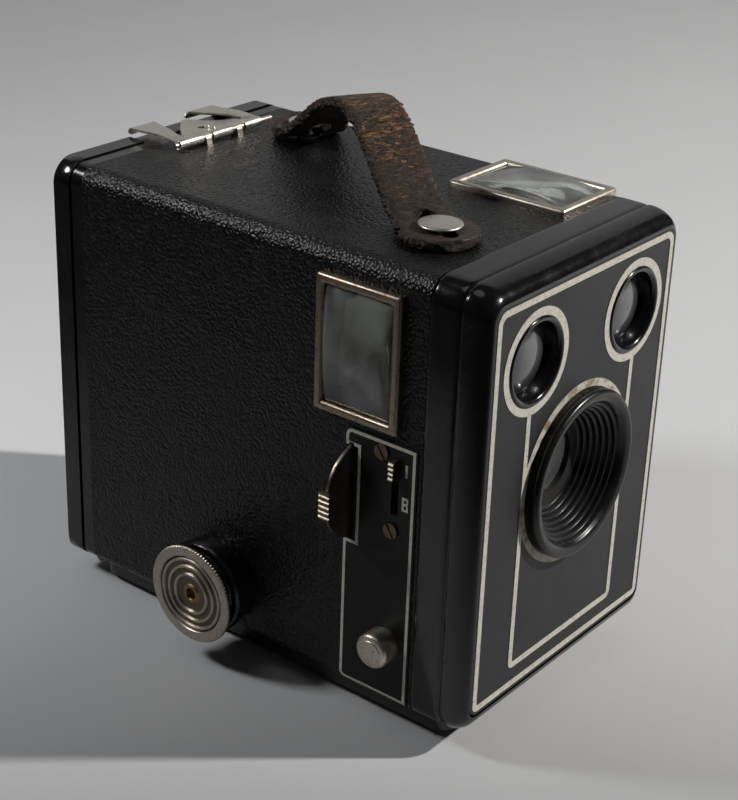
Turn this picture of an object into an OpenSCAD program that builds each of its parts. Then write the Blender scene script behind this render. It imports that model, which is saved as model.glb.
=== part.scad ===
// Roll-film box camera: a sheet-metal body with a removable film carrier.
// Millimetres. +Z is up, the lens looks along -Y, the controls are on the -X side.
// The origin is on the surface that the camera stands on, under the middle of the body.

/* [Body] */
// Width of the front frame and of the back door
body_w = 78; // [77.8:0.1:78.4]
// Height of the front frame and of the back door
body_h = 109; // [108.8:0.1:109.4]
// Depth from the face of the front frame to the outside of the back door
body_d = 129; // [129:0.5:131]
// Height of the body's underside above the surface it stands on
body_lift = 5.5; // [5.4:0.1:5.8]
// Radius of the frame's and the door's corners
corner_r = 6; // [5:0.5:7]
// Thickness of the body's sheet metal
sheet_t = 1; // [0.9:0.1:1.1]
// Thickness of the leather-grain covering
cover_t = 0.6; // [0.4:0.1:0.7]

/* [Front] */
// Depth of the front frame
frame_d = 15.3; // [15:0.1:15.6]
// How far the lens hood stands out of the faceplate
hood_out = 3.4; // [2.5:0.1:4]
// Radius of the lens hood
hood_r = 20.4; // [20:0.1:20.6]
// Distance of each finder objective from the middle
finder_x = 20; // [19.6:0.1:20.4]
// Height of the finder objectives above the lens axis
finder_up = 34; // [33.6:0.1:34.4]

/* [Controls] */
// Radius of the winding knob
knob_r = 12.8; // [12:0.1:13]
// How far the winding knob pulls out to free the film spool
knob_pull = 8; // [7.6:0.1:8]
// Travel of the shutter release button
button_travel = 3.5; // [3:0.1:3.5]
// Travel of the instant and bulb selector
selector_travel = 9; // [8.5:0.1:9]

/* [Strap] */
// Width of the leather strap
strap_w = 14; // [12:0.5:15]
// Thickness of the leather strap
strap_t = 2.6; // [2.2:0.1:2.8]
// Height of the strap's arch above its ends
strap_rise = 17.5; // [15:0.5:19]

/* [Hidden] */
$fn = 48;
gap = 0.05;                          // running clearance on a radius
fine = 0.3;                          // clearance between parts that pass each other

// main levels and planes
y_front = -body_d / 2;               // face of the front frame
y_back = body_d / 2 + 2.2;           // outside of the back door
z_low = body_lift;                   // underside of frame and door
z_high = body_lift + body_h;         // top of frame and door
z_mid = z_low + body_h / 2;          // the lens axis
half_w = body_w / 2;
cover_inset = 0.4;                   // covering lies this far inside the frame's outline
cover_x = half_w - cover_inset;      // outer face of the covering
cover_top = z_high - cover_inset;
cover_low = z_low + cover_inset;
shell_x = cover_x - cover_t;         // outer face of the shell
shell_top = cover_top - cover_t;
shell_low = cover_low + cover_t;
in_x = shell_x - sheet_t;            // inner face of the shell
in_top = shell_top - sheet_t;
in_low = shell_low + sheet_t;
low_r = 3;                           // edge radius along the bottom of the covering
y_seam = y_front + frame_d;          // frame's rear edge
y_shell0 = y_front + 6.5;            // front edge of the shell
y_shell1 = 59.4;                     // rear edge of the shell
y_bead = 56;                         // front of the rolled rear bead
y_door = 60;                         // front of the back door

// faceplate and its cream lines
plate_x = 36.7;
plate_low = z_mid - 49.6;
plate_high = z_mid + 50.3;
plate_t = 0.8;
line_x = 35;
line_low = z_mid - 48;
line_high = z_mid + 48.9;
line_w = 1.5;
line_t = 0.12;
inner_line_x = 21.4;
inner_line_low = z_mid - 42.9;
ring_r = 12.45;                      // outside of the ring round a finder objective
eye_r = 10.5;                        // hole for a finder objective
hood_ring_r = 22.3;

// finder windows: outer size, and low corner of each
win_w = 23.6;
win_l = 32.7;
win_rise = 1.7;
side_win_y = -42.8;
side_win_z = z_mid + 15.7;
top_win_x = 12.6;
top_win_y = y_seam + 1;
win_rim = 2.3;                       // width of the window's metal rim
box_t = 0.6;                         // sheet of the finder boxes

// side control plate
ctl_y0 = -48.2;
ctl_y1 = -27.7;
ctl_z0 = 7;
ctl_z1 = 73.8;
ctl_notch_y = -31.2;
ctl_notch_z0 = 45.8;
ctl_notch_z1 = 68.8;
ctl_t = 0.25;
ctl_r = 2.2;
slot_y = -42.3;
slot_w = 1.9;
slot_z0 = 56.1;
slot_z1 = 70.2;
screw_at = [[-38.4, 70.6], [-41.7, 51.9]];

// release button
button_y = -41;
button_z = 21.8;
button_r = 4.3;
button_out = 5.8;
plunger_r = 1.6;

// close-up lever: a disc that turns in a slot of the side
lever_x = -35.8;
lever_y = -30.2;
lever_z = z_mid - 2.4;
lever_r = 12.15;
lever_t = 0.8;
spindle_r = 0.6;
closeup_rest = -31.2;                // angle of the parked lens arm below level
closeup_arm = 35.9;
closeup_y = -47.2;

// winding side and film path
spool_y = 9.7;
take_z = z_mid - 40.5;
supply_z = z_mid + 40.5;
spool_half = 32.75;
flange_r = 11.5;
core_r = 4.2;
shaft_r = 2;
knob_face_x = -50.5;
knob_t = 2.4;
knob_rim = 1.3;
carrier_x = 33.7;                    // inner face of the carrier's side plates
carrier_t = 0.8;
gate_y = 50;
gate_w = 57;
gate_h = 83;
roller_r = 2.5;
roller_dz = 47;
roller_y = 49.4;

// strap: it runs aslant between two studs
stud_a = [-18.5, -36.3];
stud_b = [20.4, 34.6];
strap_len = norm(stud_b - stud_a);
strap_turn = atan2(stud_b[1] - stud_a[1], stud_b[0] - stud_a[0]);
strap_tip = 8.7;
strap_peak = 41;

// latch on the top, and hinge at the bottom
latch_y = 48.6;
latch_z = cover_top + 1.7;
wire_r = 0.7;
latch_t = 0.7;
hinge_y = 59.7;
hinge_z = 3.4;
hinge_r = 1.6;
hinge_pin_r = 0.8;
red_z = 36;                          // film number window

// shutter
sector_pivot = [13, 17];             // from the lens axis
sector_y = -51.9;
trip_pivot = [-21, 33];
trip_y = -50.8;

// ---------- shared shapes ----------

// a block given by its low and high corners
module block(low, high) {
  translate(low) cube(high - low);
}

// a bar of rounded rectangular section along Y; section corners (x0,z0)-(x1,z1),
// radius r at the top and rl at the bottom
module rounded_bar_y(x0, x1, z0, z1, y0, y1, r, rl = -1) {
  translate([0, y1, 0]) rotate([90, 0, 0]) linear_extrude(y1 - y0)
    rounded_rect(x0, x1, z0, z1, r, rl < 0 ? r : rl);
}

module rounded_rect(x0, x1, z0, z1, r, rl) {
  union() {
    translate([x0 + r, z0 + rl]) square([x1 - x0 - 2 * r, z1 - z0 - rl]);
    translate([x0 + rl, z0]) square([x1 - x0 - 2 * rl, 2 * rl]);
    translate([x0, z0 + rl]) square([x1 - x0, z1 - z0 - rl - r]);
    for (x = [x0 + r, x1 - r]) translate([x, z1 - r]) circle(r);
    for (x = [x0 + rl, x1 - rl]) translate([x, z0 + rl]) circle(rl);
  }
}

// a cylinder along X or Y, from its low end
module rod_x(x0, x1, y, z, r) {
  translate([x0, y, z]) rotate([0, 90, 0]) cylinder(h = x1 - x0, r = r);
}

module rod_y(x, y0, y1, z, r) {
  translate([x, y1, z]) rotate([90, 0, 0]) cylinder(h = y1 - y0, r = r);
}

module cone_y(x, y0, y1, z, r0, r1) {
  translate([x, y1, z]) rotate([90, 0, 0]) cylinder(h = y1 - y0, r1 = r1, r2 = r0);
}

// a flat ring lying in the faceplate's plane
module ring_y(x, z, y0, y1, r_out, r_in) {
  difference() {
    rod_y(x, y0, y1, z, r_out);
    rod_y(x, y0 - 1, y1 + 1, z, r_in);
  }
}

// points of a quarter ellipse from (0, b) to (a, 0), in steps
function quarter(a, b, steps = 8) = [for (i = [0 : steps]) [a * sin(90 * i / steps), b * cos(90 * i / steps)]];

// ---------- casing ----------

module body_shell() {
  color([0.07, 0.07, 0.07]) difference() {
    union() {
      rounded_bar_y(-shell_x, shell_x, shell_low, shell_top, y_shell0, y_shell1, 4, low_r - 0.6);
      rounded_bar_y(-cover_x, cover_x, cover_low, cover_top, y_bead, y_shell1, 4.6, low_r);
    }
    rounded_bar_y(-in_x, in_x, in_low, in_top, y_shell0 - 1, y_shell1 + 1, 3, 1.6);
    side_openings();
    top_openings();
  }
}

// what passes through the control side of the shell and of its covering
module side_openings() {
  x0 = -half_w - 1;
  x1 = -in_x + 1;
  block([x0, side_win_y + 0.95, side_win_z + 0.95], [x1, side_win_y + win_w - 0.95, side_win_z + win_l - 0.95]);
  block([x0, slot_y - slot_w / 2, slot_z0], [x1, slot_y + slot_w / 2, slot_z1]);
  block([x0, lever_y - 0.3, lever_z - lever_r - 0.2], [x1, lever_y + lever_t + 0.3, lever_z + lever_r + 0.2]);
  rod_x(x0, x1, button_y, button_z, button_r + 0.1);
  for (p = screw_at) rod_x(x0, x1, p[0], p[1], 0.95);
  rod_x(x0, x1, spool_y, take_z, shaft_r + 1.2);
}

module top_openings() {
  block([top_win_x + 0.95, top_win_y + 0.95, in_top - 1],
        [top_win_x + win_w - 0.95, top_win_y + win_l - 0.95, z_high + 1]);
}

module leather_cover() {
  color([0.05, 0.05, 0.05]) difference() {
    rounded_bar_y(-cover_x, cover_x, cover_low, cover_top, y_seam, y_bead, 4.6, low_r);
    rounded_bar_y(-shell_x, shell_x, shell_low, shell_top, y_seam - 1, y_bead + 1, 4, low_r - 0.6);
    side_openings();
    top_openings();
    // the control plate is let into the covering
    at_side(-half_w - 1, -shell_x + 0.01) control_outline(0);
  }
}

// The front edge is rolled over: a quarter ellipse, flatter on the sides than on top.
module front_frame() {
  side_roll = quarter(half_w - plate_x, 6.4);
  top_roll = quarter(z_high - plate_high, 6.4);
  d = frame_d;
  color([0.03, 0.03, 0.03]) difference() {
    intersection() {
      rounded_bar_y(-half_w, half_w, z_low, z_high, y_front, y_seam, corner_r, low_r + 1);
      translate([0, 0, z_low - 1]) linear_extrude(body_h + 2) polygon(concat(
        [for (p = side_roll) [plate_x + p[0], y_front + 6.4 - p[1]]],
        [[half_w, y_front + d], [-half_w, y_front + d]],
        [for (i = [len(side_roll) - 1 : -1 : 0])
          [-plate_x - side_roll[i][0], y_front + 6.4 - side_roll[i][1]]]));
      translate([-half_w - 1, 0, 0]) rotate([90, 0, 90]) linear_extrude(body_w + 2) polygon(concat(
        [for (p = top_roll) [y_front + 6.4 - p[1], plate_high + p[0]]],
        [[y_front + d, z_high], [y_front + d, z_low]],
        [for (i = [len(top_roll) - 1 : -1 : 0])
          [y_front + 6.4 - top_roll[i][1], z_mid * 2 - plate_high - top_roll[i][0]]]));
    }
    // recess for the faceplate, and the hollow behind it
    rounded_bar_y(-plate_x, plate_x, plate_low, plate_high, y_front - 1, y_front + plate_t, 3.2);
    rounded_bar_y(-plate_x + 1.5, plate_x - 1.5, plate_low + 1.5, plate_high - 1.5, y_front - 1, y_seam + 1, 2);
    rounded_bar_y(-shell_x - gap, shell_x + gap, shell_low - gap, shell_top + gap,
                  y_shell0, y_seam + 1, 4 + gap, low_r - 0.6 + gap);
  }
}

module faceplate() {
  color([0.16, 0.16, 0.16]) difference() {
    rounded_bar_y(-plate_x, plate_x, plate_low, plate_high, y_front, y_front + plate_t, 3.2);
    rod_y(0, y_front - 1, y_front + 2, z_mid, hood_r - 0.6);
    for (s = [-1, 1]) rod_y(s * finder_x, y_front - 1, y_front + 2, z_mid + finder_up, eye_r);
  }
}

// Cream lines that stand just proud of the faceplate.
module faceplate_trim() {
  y0 = y_front - line_t;
  w = line_w / 2;
  color([0.78, 0.76, 0.68]) difference() {
    union() {
      difference() {
        rounded_bar_y(-line_x - w, line_x + w, line_low - w, line_high + w, y0, y_front, 3, 1.9);
        rounded_bar_y(-line_x + w, line_x - w, line_low + w, line_high - w, y0 - 1, y_front + 1, 1.8, 0.7);
      }
      for (s = [-1, 1]) rod_y(s * finder_x, y0, y_front, z_mid + finder_up, ring_r);
      // inner line: a box with rounded lower corners
      difference() {
        rounded_bar_y(-inner_line_x - w, inner_line_x + w, inner_line_low - w, z_mid + finder_up, y0, y_front, 0.5, 2);
        rounded_bar_y(-inner_line_x + w, inner_line_x - w, inner_line_low + w, z_mid + finder_up + 9, y0 - 1, y_front + 1, 0.5, 0.9);
      }
      rod_y(0, y0, y_front, z_mid, hood_ring_r);
    }
    for (s = [-1, 1]) rod_y(s * finder_x, y0 - 1, y_front + 1, z_mid + finder_up, eye_r);
    rod_y(0, y0 - 1, y_front + 1, z_mid, hood_r + 0.1);
  }
}

// A flared collar whose inside steps down in rings to the lens.
module lens_hood() {
  steps = 7;
  r_mouth = 17.3;
  r_throat = 11;
  y_lip = y_front - hood_out;
  y_end = y_shell0 - 0.1;
  pitch = (y_end - y_lip) / steps;
  fall = (r_mouth - r_throat) / steps;
  color([0.03, 0.03, 0.03]) difference() {
    union() {
      cone_y(0, y_lip, y_lip + 1, z_mid, hood_r - 0.8, hood_r);
      rod_y(0, y_lip + 1, y_front + plate_t + 1, z_mid, hood_r - 0.7);
      ring_y(0, z_mid, y_lip + 1, y_lip + 2, hood_r, 10);
      rod_y(0, y_front + plate_t, y_front + plate_t + 1, z_mid, hood_r + 1.5);
      cone_y(0, y_front + plate_t + 1, y_end, z_mid, hood_r - 1, r_throat + 2);
    }
    for (i = [0 : steps - 1])
      cone_y(0, y_lip + i * pitch - 0.01, y_lip + (i + 1) * pitch + 0.01, z_mid,
             r_mouth - i * fall, r_mouth - i * fall - fall * 0.35);
  }
}

module finder_eyelets() {
  color([0.04, 0.04, 0.04]) for (s = [-1, 1]) translate([s * finder_x, 0, 0]) difference() {
    union() {
      rod_y(0, y_front + plate_t, y_front + plate_t + 1, z_mid + finder_up, eye_r + 0.9);
      rod_y(0, y_front + 0.2, y_front + 5.4, z_mid + finder_up, eye_r - 0.2);
    }
    cone_y(0, y_front, y_front + 1.6, z_mid + finder_up, eye_r - 1, eye_r - 2);
    rod_y(0, y_front + 1.5, y_front + 4.5, z_mid + finder_up, eye_r - 2);
    rod_y(0, y_front + 4, y_front + 6, z_mid + finder_up, eye_r - 3);
  }
}

// Two small convex lenses: a spherical cap on a flat back.
module finder_lenses() {
  r = eye_r - 2.05;
  sag = 2;
  ball = (r * r + sag * sag) / (2 * sag);
  color([0.75, 0.8, 0.8]) for (s = [-1, 1])
    translate([s * finder_x, y_front + 4.5, z_mid + finder_up]) rotate([90, 0, 0])
      rotate_extrude($fn = 180) intersection() {
        square([r, 1 + sag]);
        translate([0, 1 + sag - ball]) circle(ball, $fn = 360);
      }
}

// ---------- lens and shutter ----------

module front_board() {
  y0 = y_shell0;
  color([0.12, 0.12, 0.12]) difference() {
    block([-in_x + 0.2, y0, in_low + 0.2], [in_x - 0.2, y0 + 1, in_top - 0.2]);
    rod_y(0, y0 - 1, y0 + 2, z_mid, 8.2);
    for (s = [-1, 1]) rod_y(s * finder_x, y0 - 1, y0 + 2, z_mid + finder_up, eye_r - 1.2);
    // the board's edges clear the shell's rounded corners
    for (x = [-in_x, in_x], z = [in_low, in_top])
      translate([x, y0 - 1, z]) rotate([0, 45, 0]) cube([4, 6, 4], center = true);
  }
}

module lens_cell() {
  y0 = y_shell0 + 1;
  color([0.08, 0.08, 0.08]) difference() {
    rod_y(0, y0, y0 + 3.2, z_mid, 10.5);
    rod_y(0, y0 - 1, y0 + 2.4, z_mid, 8);
    rod_y(0, y0, y0 + 4, z_mid, 5);
  }
}

// One meniscus: hollow towards the subject.
module meniscus_lens() {
  color([0.8, 0.85, 0.85]) translate([0, y_shell0 + 3.4, z_mid]) rotate([90, 0, 0])
    rotate_extrude($fn = 180) difference() {
      intersection() {
        square([7.9, 2.6]);
        translate([0, 22]) circle(22, $fn = 720);
      }
      translate([0, 31.4]) circle(30, $fn = 720);
    }
}

module shutter_plate() {
  y0 = sector_y - 1.7;
  color([0.55, 0.55, 0.52]) difference() {
    rounded_bar_y(-31, 26, z_mid - 30, z_mid + 13, y0, y0 + 0.8, 3);
    rod_y(0, y0 - 1, y0 + 2, z_mid, 5.2);
    rod_y(sector_pivot[0], y0 - 1, y0 + 2, z_mid - sector_pivot[1], 1.02);
    rod_y(trip_pivot[0], y0 - 1, y0 + 2, trip_pivot[1], 1.02);
  }
}

// Three distance posts that carry the plate, and the two pivot pins.
module shutter_posts() {
  y0 = y_shell0 + 1;
  y1 = sector_y - 1.7;
  color([0.7, 0.65, 0.45]) {
    for (p = [[-28, -27], [22, -26], [22, 10], [-28, 10]]) rod_y(p[0], y0, y1, z_mid + p[1], 1.6);
    rod_y(sector_pivot[0], y1 - 0.5, sector_y + 1.9, z_mid - sector_pivot[1], 1);
    rod_y(trip_pivot[0], y1 - 0.5, trip_y + 1.9, trip_pivot[1], 1);
  }
}

// Thin disc sector with a window that crosses the aperture as it turns.
module shutter_sector() {
  x = sector_pivot[0];
  z = z_mid - sector_pivot[1];
  reach = norm(sector_pivot);
  color([0.2, 0.2, 0.2]) difference() {
    union() {
      rod_y(x, sector_y, sector_y + 0.5, z, 3.4);
      translate([x, sector_y + 0.5, z]) rotate([90, 0, 0]) linear_extrude(0.5) polygon(concat(
        [[0, 0]], [for (i = [0 : 10]) (reach + 6.2) * [cos(111 + i * 10.6), sin(111 + i * 10.6)]]));
    }
    rod_y(x, sector_y - 1, sector_y + 2, z, 1 + gap);
    // at rest its window stands beside the aperture
    translate([x, 0, z]) rotate([0, 14.6, 0]) rod_y(-reach, sector_y - 1, sector_y + 2, 0, 4.6);
  }
}

module sector_spring() {
  x = sector_pivot[0];
  z = z_mid - sector_pivot[1];
  color([0.6, 0.6, 0.6]) {
    ring_y(x, z, sector_y + 0.7, sector_y + 1.3, 1.9, 1);
    block([x + 1.6, sector_y + 0.7, z - 0.3], [x + 9, sector_y + 1.3, z + 0.3]);
    block([x + 8.4, sector_y - 0.9, z - 0.3], [x + 9, sector_y + 1.3, z + 0.3]);
  }
}

// Bell crank between the button and the sector.
module release_lever() {
  x = trip_pivot[0];
  z = trip_pivot[1];
  foot_x = -28.6;
  color([0.62, 0.6, 0.52]) difference() {
    union() {
      rod_y(x, trip_y, trip_y + 0.8, z, 2.8);
      translate([x, trip_y + 0.8, z]) rotate([90, 0, 0]) linear_extrude(0.8)
        polygon([[-1.5, 0], [foot_x - x, button_z - z - 2.5], [foot_x - x + 2.2, button_z - z - 2.5], [2, -1]]);
      translate([x, trip_y + 0.8, z]) rotate([90, 0, 0]) linear_extrude(0.8)
        polygon([[-1, 1.5], [17, 7.4], [17.6, 5.8], [1.5, -1.5]]);
      block([foot_x, trip_y, button_z - 2.5], [foot_x + 1, button_y + 2, button_z + 2.5]);
    }
    rod_y(x, trip_y - 1, trip_y + 2, z, 1 + gap);
  }
}

// ---------- finders ----------

// A thin box with an open front and one open side; outside size given by two corners.
module side_finder_box() {
  x0 = -in_x + 0.2;
  x1 = -8.6;
  y0 = y_shell0 + 1;
  y1 = side_win_y + win_w - 1;
  z0 = side_win_z + 1.2;
  z1 = in_top - 3.4;
  color([0.1, 0.1, 0.1]) difference() {
    block([x0, y0, z0], [x1, y1, z1]);
    block([x0 - 1, y0 - 1, z0 + box_t], [x1 - box_t, y1 - box_t, z1 - box_t]);
  }
}

module side_finder_mirror() {
  color([0.75, 0.78, 0.8]) translate([-finder_x - 2, -31.2, side_win_z + 1.8])
    rotate([0, 0, -45]) block([-13.4, 0, 0], [13.4, 1, in_top - side_win_z - 5.9]);
}

module top_finder_box() {
  x0 = top_win_x - 3;
  x1 = in_x - 2;
  y0 = y_shell0 + 1;
  y1 = top_win_y + win_l - 1;
  z0 = z_mid + 20.5;
  z1 = in_top - 0.2;
  color([0.1, 0.1, 0.1]) difference() {
    block([x0, y0, z0], [x1, y1, z1]);
    block([x0 + box_t, y0 - 1, z0 + box_t], [x1 - box_t, y1 - box_t, z1 + 1]);
  }
}

module top_finder_mirror() {
  color([0.75, 0.78, 0.8]) translate([top_win_x - 1.6, -32, z_mid + 36])
    rotate([45, 0, 0]) block([0, -19, -1], [win_w - 0.2, 19, 0]);
}

// Domed window glass: the low part is a plate, the top a shallow cylinder.
module window_glass(w, l) {
  sag = 1.5;
  r = (l * l / 4 + sag * sag) / (2 * sag);
  intersection() {
    translate([-w / 2, -l / 2, -1.4]) cube([w, l, 4]);
    translate([0, 0, 1 + sag - r]) rotate([0, 90, 0]) translate([0, 0, -w]) cylinder(h = 2 * w, r = r, $fn = 180);
  }
}

// Pressed metal rim: sloping flanks, open middle.
module window_frame() {
  difference() {
    union() {
      translate([-win_w / 2, -win_l / 2, 0]) cube([win_w, win_l, win_rise]);
      translate([-win_w / 2 + 1, -win_l / 2 + 1, -1]) cube([win_w - 2, win_l - 2, 1.01]);
    }
    translate([-win_w / 2 + win_rim, -win_l / 2 + win_rim, -2])
      cube([win_w - 2 * win_rim, win_l - 2 * win_rim, 6]);
    for (a = [0, 180]) rotate([0, 0, a]) {
      translate([win_w / 2, -win_l, win_rise - 0.5]) rotate([0, -45, 0]) cube([2, 2 * win_l, 2]);
      translate([-win_w, win_l / 2, win_rise - 0.5]) rotate([45, 0, 0]) cube([2 * win_w, 2, 2]);
    }
  }
}

module on_side_window() {
  translate([-cover_x, side_win_y + win_w / 2, side_win_z + win_l / 2])
    rotate([0, -90, 0]) rotate([0, 0, 90]) children();
}

module on_top_window() {
  translate([top_win_x + win_w / 2, top_win_y + win_l / 2, cover_top]) children();
}

module side_finder_frame() {
  color([0.62, 0.6, 0.56]) on_side_window() window_frame();
}

module top_finder_frame() {
  color([0.62, 0.6, 0.56]) on_top_window() window_frame();
}

module side_finder_glass() {
  color([0.75, 0.82, 0.8]) on_side_window()
    window_glass(win_w - 2 * win_rim - 0.02, win_l - 2 * win_rim - 0.02);
}

module top_finder_glass() {
  color([0.75, 0.82, 0.8]) on_top_window()
    window_glass(win_w - 2 * win_rim - 0.02, win_l - 2 * win_rim - 0.02);
}

// ---------- control side ----------

// Outline of the control plate, grown by d. Its rear corners are rounded, its front
// corners are square, and the notch beside the close-up lever stays open.
module control_outline(d) {
  y1 = ctl_y1 + d;
  z0 = ctl_z0 - d;
  z1 = ctl_z1 + d;
  r = ctl_r + d;
  difference() {
    union() {
      translate([ctl_y0 - d, z0]) square([y1 - r - ctl_y0 + d, z1 - z0]);
      translate([ctl_y0 - d, z0 + r]) square([y1 - ctl_y0 + d, z1 - z0 - 2 * r]);
      for (z = [z0 + r, z1 - r]) translate([y1 - r, z]) circle(r);
    }
    translate([ctl_notch_y + d, ctl_notch_z0 + d])
      square([20, ctl_notch_z1 - ctl_notch_z0 - 2 * d]);
  }
}

module at_side(x0, x1) {
  translate([x0, 0, 0]) rotate([90, 0, 90]) linear_extrude(x1 - x0) children();
}

module control_plate() {
  color([0.09, 0.09, 0.09]) difference() {
    intersection() {
      at_side(-cover_x - ctl_t, -shell_x) control_outline(-0.05);
      rounded_bar_y(-cover_x - ctl_t, 0, cover_low, cover_top, ctl_y0, ctl_y1, 4, low_r);
    }
    rounded_bar_y(-shell_x, shell_x, shell_low, shell_top, ctl_y0 - 1, ctl_y1 + 1, 4, low_r - 0.6);
    side_openings();
  }
}

// Cream border line and the marks I and B beside the selector's slot.
module control_trim() {
  w = 0.75;
  mark_y = -45.3;
  color([0.7, 0.69, 0.62]) difference() {
    union() {
      difference() {
        intersection() {
          at_side(-cover_x - ctl_t - line_t, -shell_x) control_outline(-0.5);
          rounded_bar_y(-cover_x - ctl_t - line_t, 0, cover_low, cover_top, ctl_y0, ctl_y1, 4, low_r);
        }
        rounded_bar_y(-cover_x - ctl_t, 0, cover_low, cover_top, ctl_y0 - 1, ctl_y1 + 1, 4, low_r);
        at_side(-half_w - 2, -shell_x + 1) control_outline(-0.5 - w);
      }
      block([-cover_x - ctl_t - line_t, mark_y - 0.3, 66.3], [-cover_x - ctl_t, mark_y + 0.3, 69.4]);
      letter_b(mark_y, 57.9);
    }
    side_openings();
  }
}

module letter_b(y, z) {
  x0 = -cover_x - ctl_t - line_t;
  x1 = -cover_x - ctl_t;
  difference() {
    block([x0, y - 0.8, z], [x1, y + 0.9, z + 3.4]);
    block([x0 - 1, y - 0.35, z + 0.55], [x1 + 1, y + 0.4, z + 1.45]);
    block([x0 - 1, y - 0.35, z + 2], [x1 + 1, y + 0.4, z + 2.85]);
    block([x0 - 1, y - 1, z + 1.5], [x1 + 1, y - 0.55, z + 1.95]);
  }
}

module control_screws() {
  color([0.5, 0.45, 0.35]) for (p = screw_at) difference() {
    union() {
      rod_x(-cover_x - ctl_t - 0.6, -cover_x - ctl_t, p[0], p[1], 1.9);
      rod_x(-cover_x - ctl_t, -in_x + 0.8, p[0], p[1], 0.9);
    }
    translate([-cover_x - ctl_t - 0.7, p[0], p[1]]) rotate([55, 0, 0])
      translate([0, -3, -0.25]) cube([0.4, 6, 0.5]);
  }
}

module release_button() {
  x0 = -cover_x - button_out;
  color([0.7, 0.68, 0.64]) union() {
    rod_x(x0 + 0.5, -in_x + 0.5, button_y, button_z, button_r);
    translate([x0, button_y, button_z]) rotate([0, 90, 0]) cylinder(h = 0.5, r1 = button_r - 0.5, r2 = button_r);
    rod_x(-in_x + 0.5, -29.2, button_y, button_z, plunger_r);
    // the flange inside stops the button from falling out
    rod_x(-in_x + 0.1, -in_x + 0.9, button_y, button_z, button_r + 1.4);
  }
}

module release_bracket() {
  x0 = -31.2;
  color([0.5, 0.5, 0.48]) difference() {
    union() {
      block([x0, button_y - 7, button_z - 6], [x0 + 0.8, button_y + 7, button_z + 5]);
      block([-in_x + 0.05, button_y + 6.2, button_z - 6], [x0 + 0.4, button_y + 7, button_z + 5]);
    }
    rod_x(x0 - 1, x0 + 2, button_y, button_z, plunger_r + gap);
  }
}

// Wire coil round the plunger: a six-sided wire swept along a helix.
module release_spring() {
  turns = 4;
  per_turn = 14;
  sides = 6;
  wire = 0.3;
  r = 2.6;
  x0 = -in_x + 1.25;
  x1 = -31.55;
  n = turns * per_turn;
  points = [for (i = [0 : n], j = [0 : sides - 1])
    let (a = 360 * i / per_turn, b = 360 * j / sides, rr = r + wire * cos(b))
    [x0 + (x1 - x0) * i / n + wire * sin(b), button_y + rr * cos(a), button_z + rr * sin(a)]];
  walls = [for (i = [0 : n - 1], j = [0 : sides - 1])
    let (k = (j + 1) % sides)
    [i * sides + j, (i + 1) * sides + j, (i + 1) * sides + k, i * sides + k]];
  first_end = [for (j = [0 : sides - 1]) j];
  last_end = [for (j = [sides - 1 : -1 : 0]) n * sides + j];
  color([0.6, 0.6, 0.6]) polyhedron(points, concat(walls, [first_end, last_end]), convexity = 8);
}

// Serrated thumb piece outside, slide plate inside.
module time_slider() {
  z0 = slot_z1 - 4.9;
  x_out = -cover_x - ctl_t - 2.2;
  w = slot_w / 2 - 0.15;
  color([0.68, 0.66, 0.62]) difference() {
    union() {
      block([x_out, slot_y - w, z0], [-in_x + 0.3, slot_y + w, slot_z1 - 0.2]);
      block([-in_x + 0.05, slot_y - 1.5, z0 - 2.8], [-in_x + 0.5, slot_y + 1.5, slot_z1 + 3]);
    }
    for (i = [0 : 3]) translate([x_out, slot_y, z0 + 0.75 + i * 1.2]) rotate([0, 45, 0])
      cube([0.6, 4, 0.6], center = true);
  }
}

module closeup_bracket() {
  color([0.5, 0.5, 0.48]) difference() {
    union() {
      block([-in_x + 0.05, -33.6, lever_z - 3], [lever_x + 2.6, -32.8, lever_z + 3]);
      block([-in_x + 0.05, -44.8, lever_z - 3], [lever_x + 2.6, -44, lever_z + 3]);
      block([lever_x + 1.8, -44.4, lever_z - 3], [lever_x + 2.6, -33.2, lever_z + 3]);
    }
    rod_y(lever_x, -46, -31, lever_z, spindle_r + gap);
  }
}

// Disc in the side's slot, its spindle, and the arm that carries the lens.
module closeup_lever() {
  color([0.6, 0.58, 0.54]) union() {
    difference() {
      rod_y(lever_x, lever_y, lever_y + lever_t, lever_z, lever_r);
      // the disc is cut away inside the body, except round its spindle
      block([lever_x + 3, lever_y - 1, lever_z - 20], [lever_x + 20, lever_y + 2, lever_z + 20]);
    }
    rod_y(lever_x, closeup_y - 0.6, lever_y + 0.1, lever_z, spindle_r);
    // finger piece: the rim is widened to a T and serrated
    difference() {
      block([lever_x - lever_r - 0.7, lever_y - 1.2, lever_z - 3.4], [lever_x - lever_r + 0.5, lever_y + 1.8, lever_z + 3.4]);
      for (i = [0 : 4]) translate([lever_x - lever_r - 0.7, lever_y, lever_z - 2.6 + i * 1.3]) rotate([0, 45, 0])
        cube([0.5, 6, 0.5], center = true);
    }
    translate([lever_x, 0, lever_z]) rotate([0, -closeup_rest, 0]) difference() {
      union() {
        block([0, closeup_y - 0.4, -1.1], [closeup_arm - 6, closeup_y + 0.4, 1.1]);
        rod_y(0, closeup_y - 0.4, closeup_y + 0.4, 0, 1.1);
        rod_y(closeup_arm, closeup_y - 0.4, closeup_y + 0.4, 0, 8.4);
      }
      rod_y(closeup_arm, closeup_y - 2, closeup_y + 2, 0, 7.2);
    }
  }
}

module closeup_lens() {
  color([0.8, 0.85, 0.85]) translate([lever_x, closeup_y + 0.9, lever_z]) rotate([0, -closeup_rest, 0])
    translate([closeup_arm, 0, 0]) rotate([90, 0, 0]) rotate_extrude($fn = 180) intersection() {
      square([7.2, 1.8]);
      translate([0, 1.8 - 30]) circle(30, $fn = 720);
    }
}

// ---------- winding ----------

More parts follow.
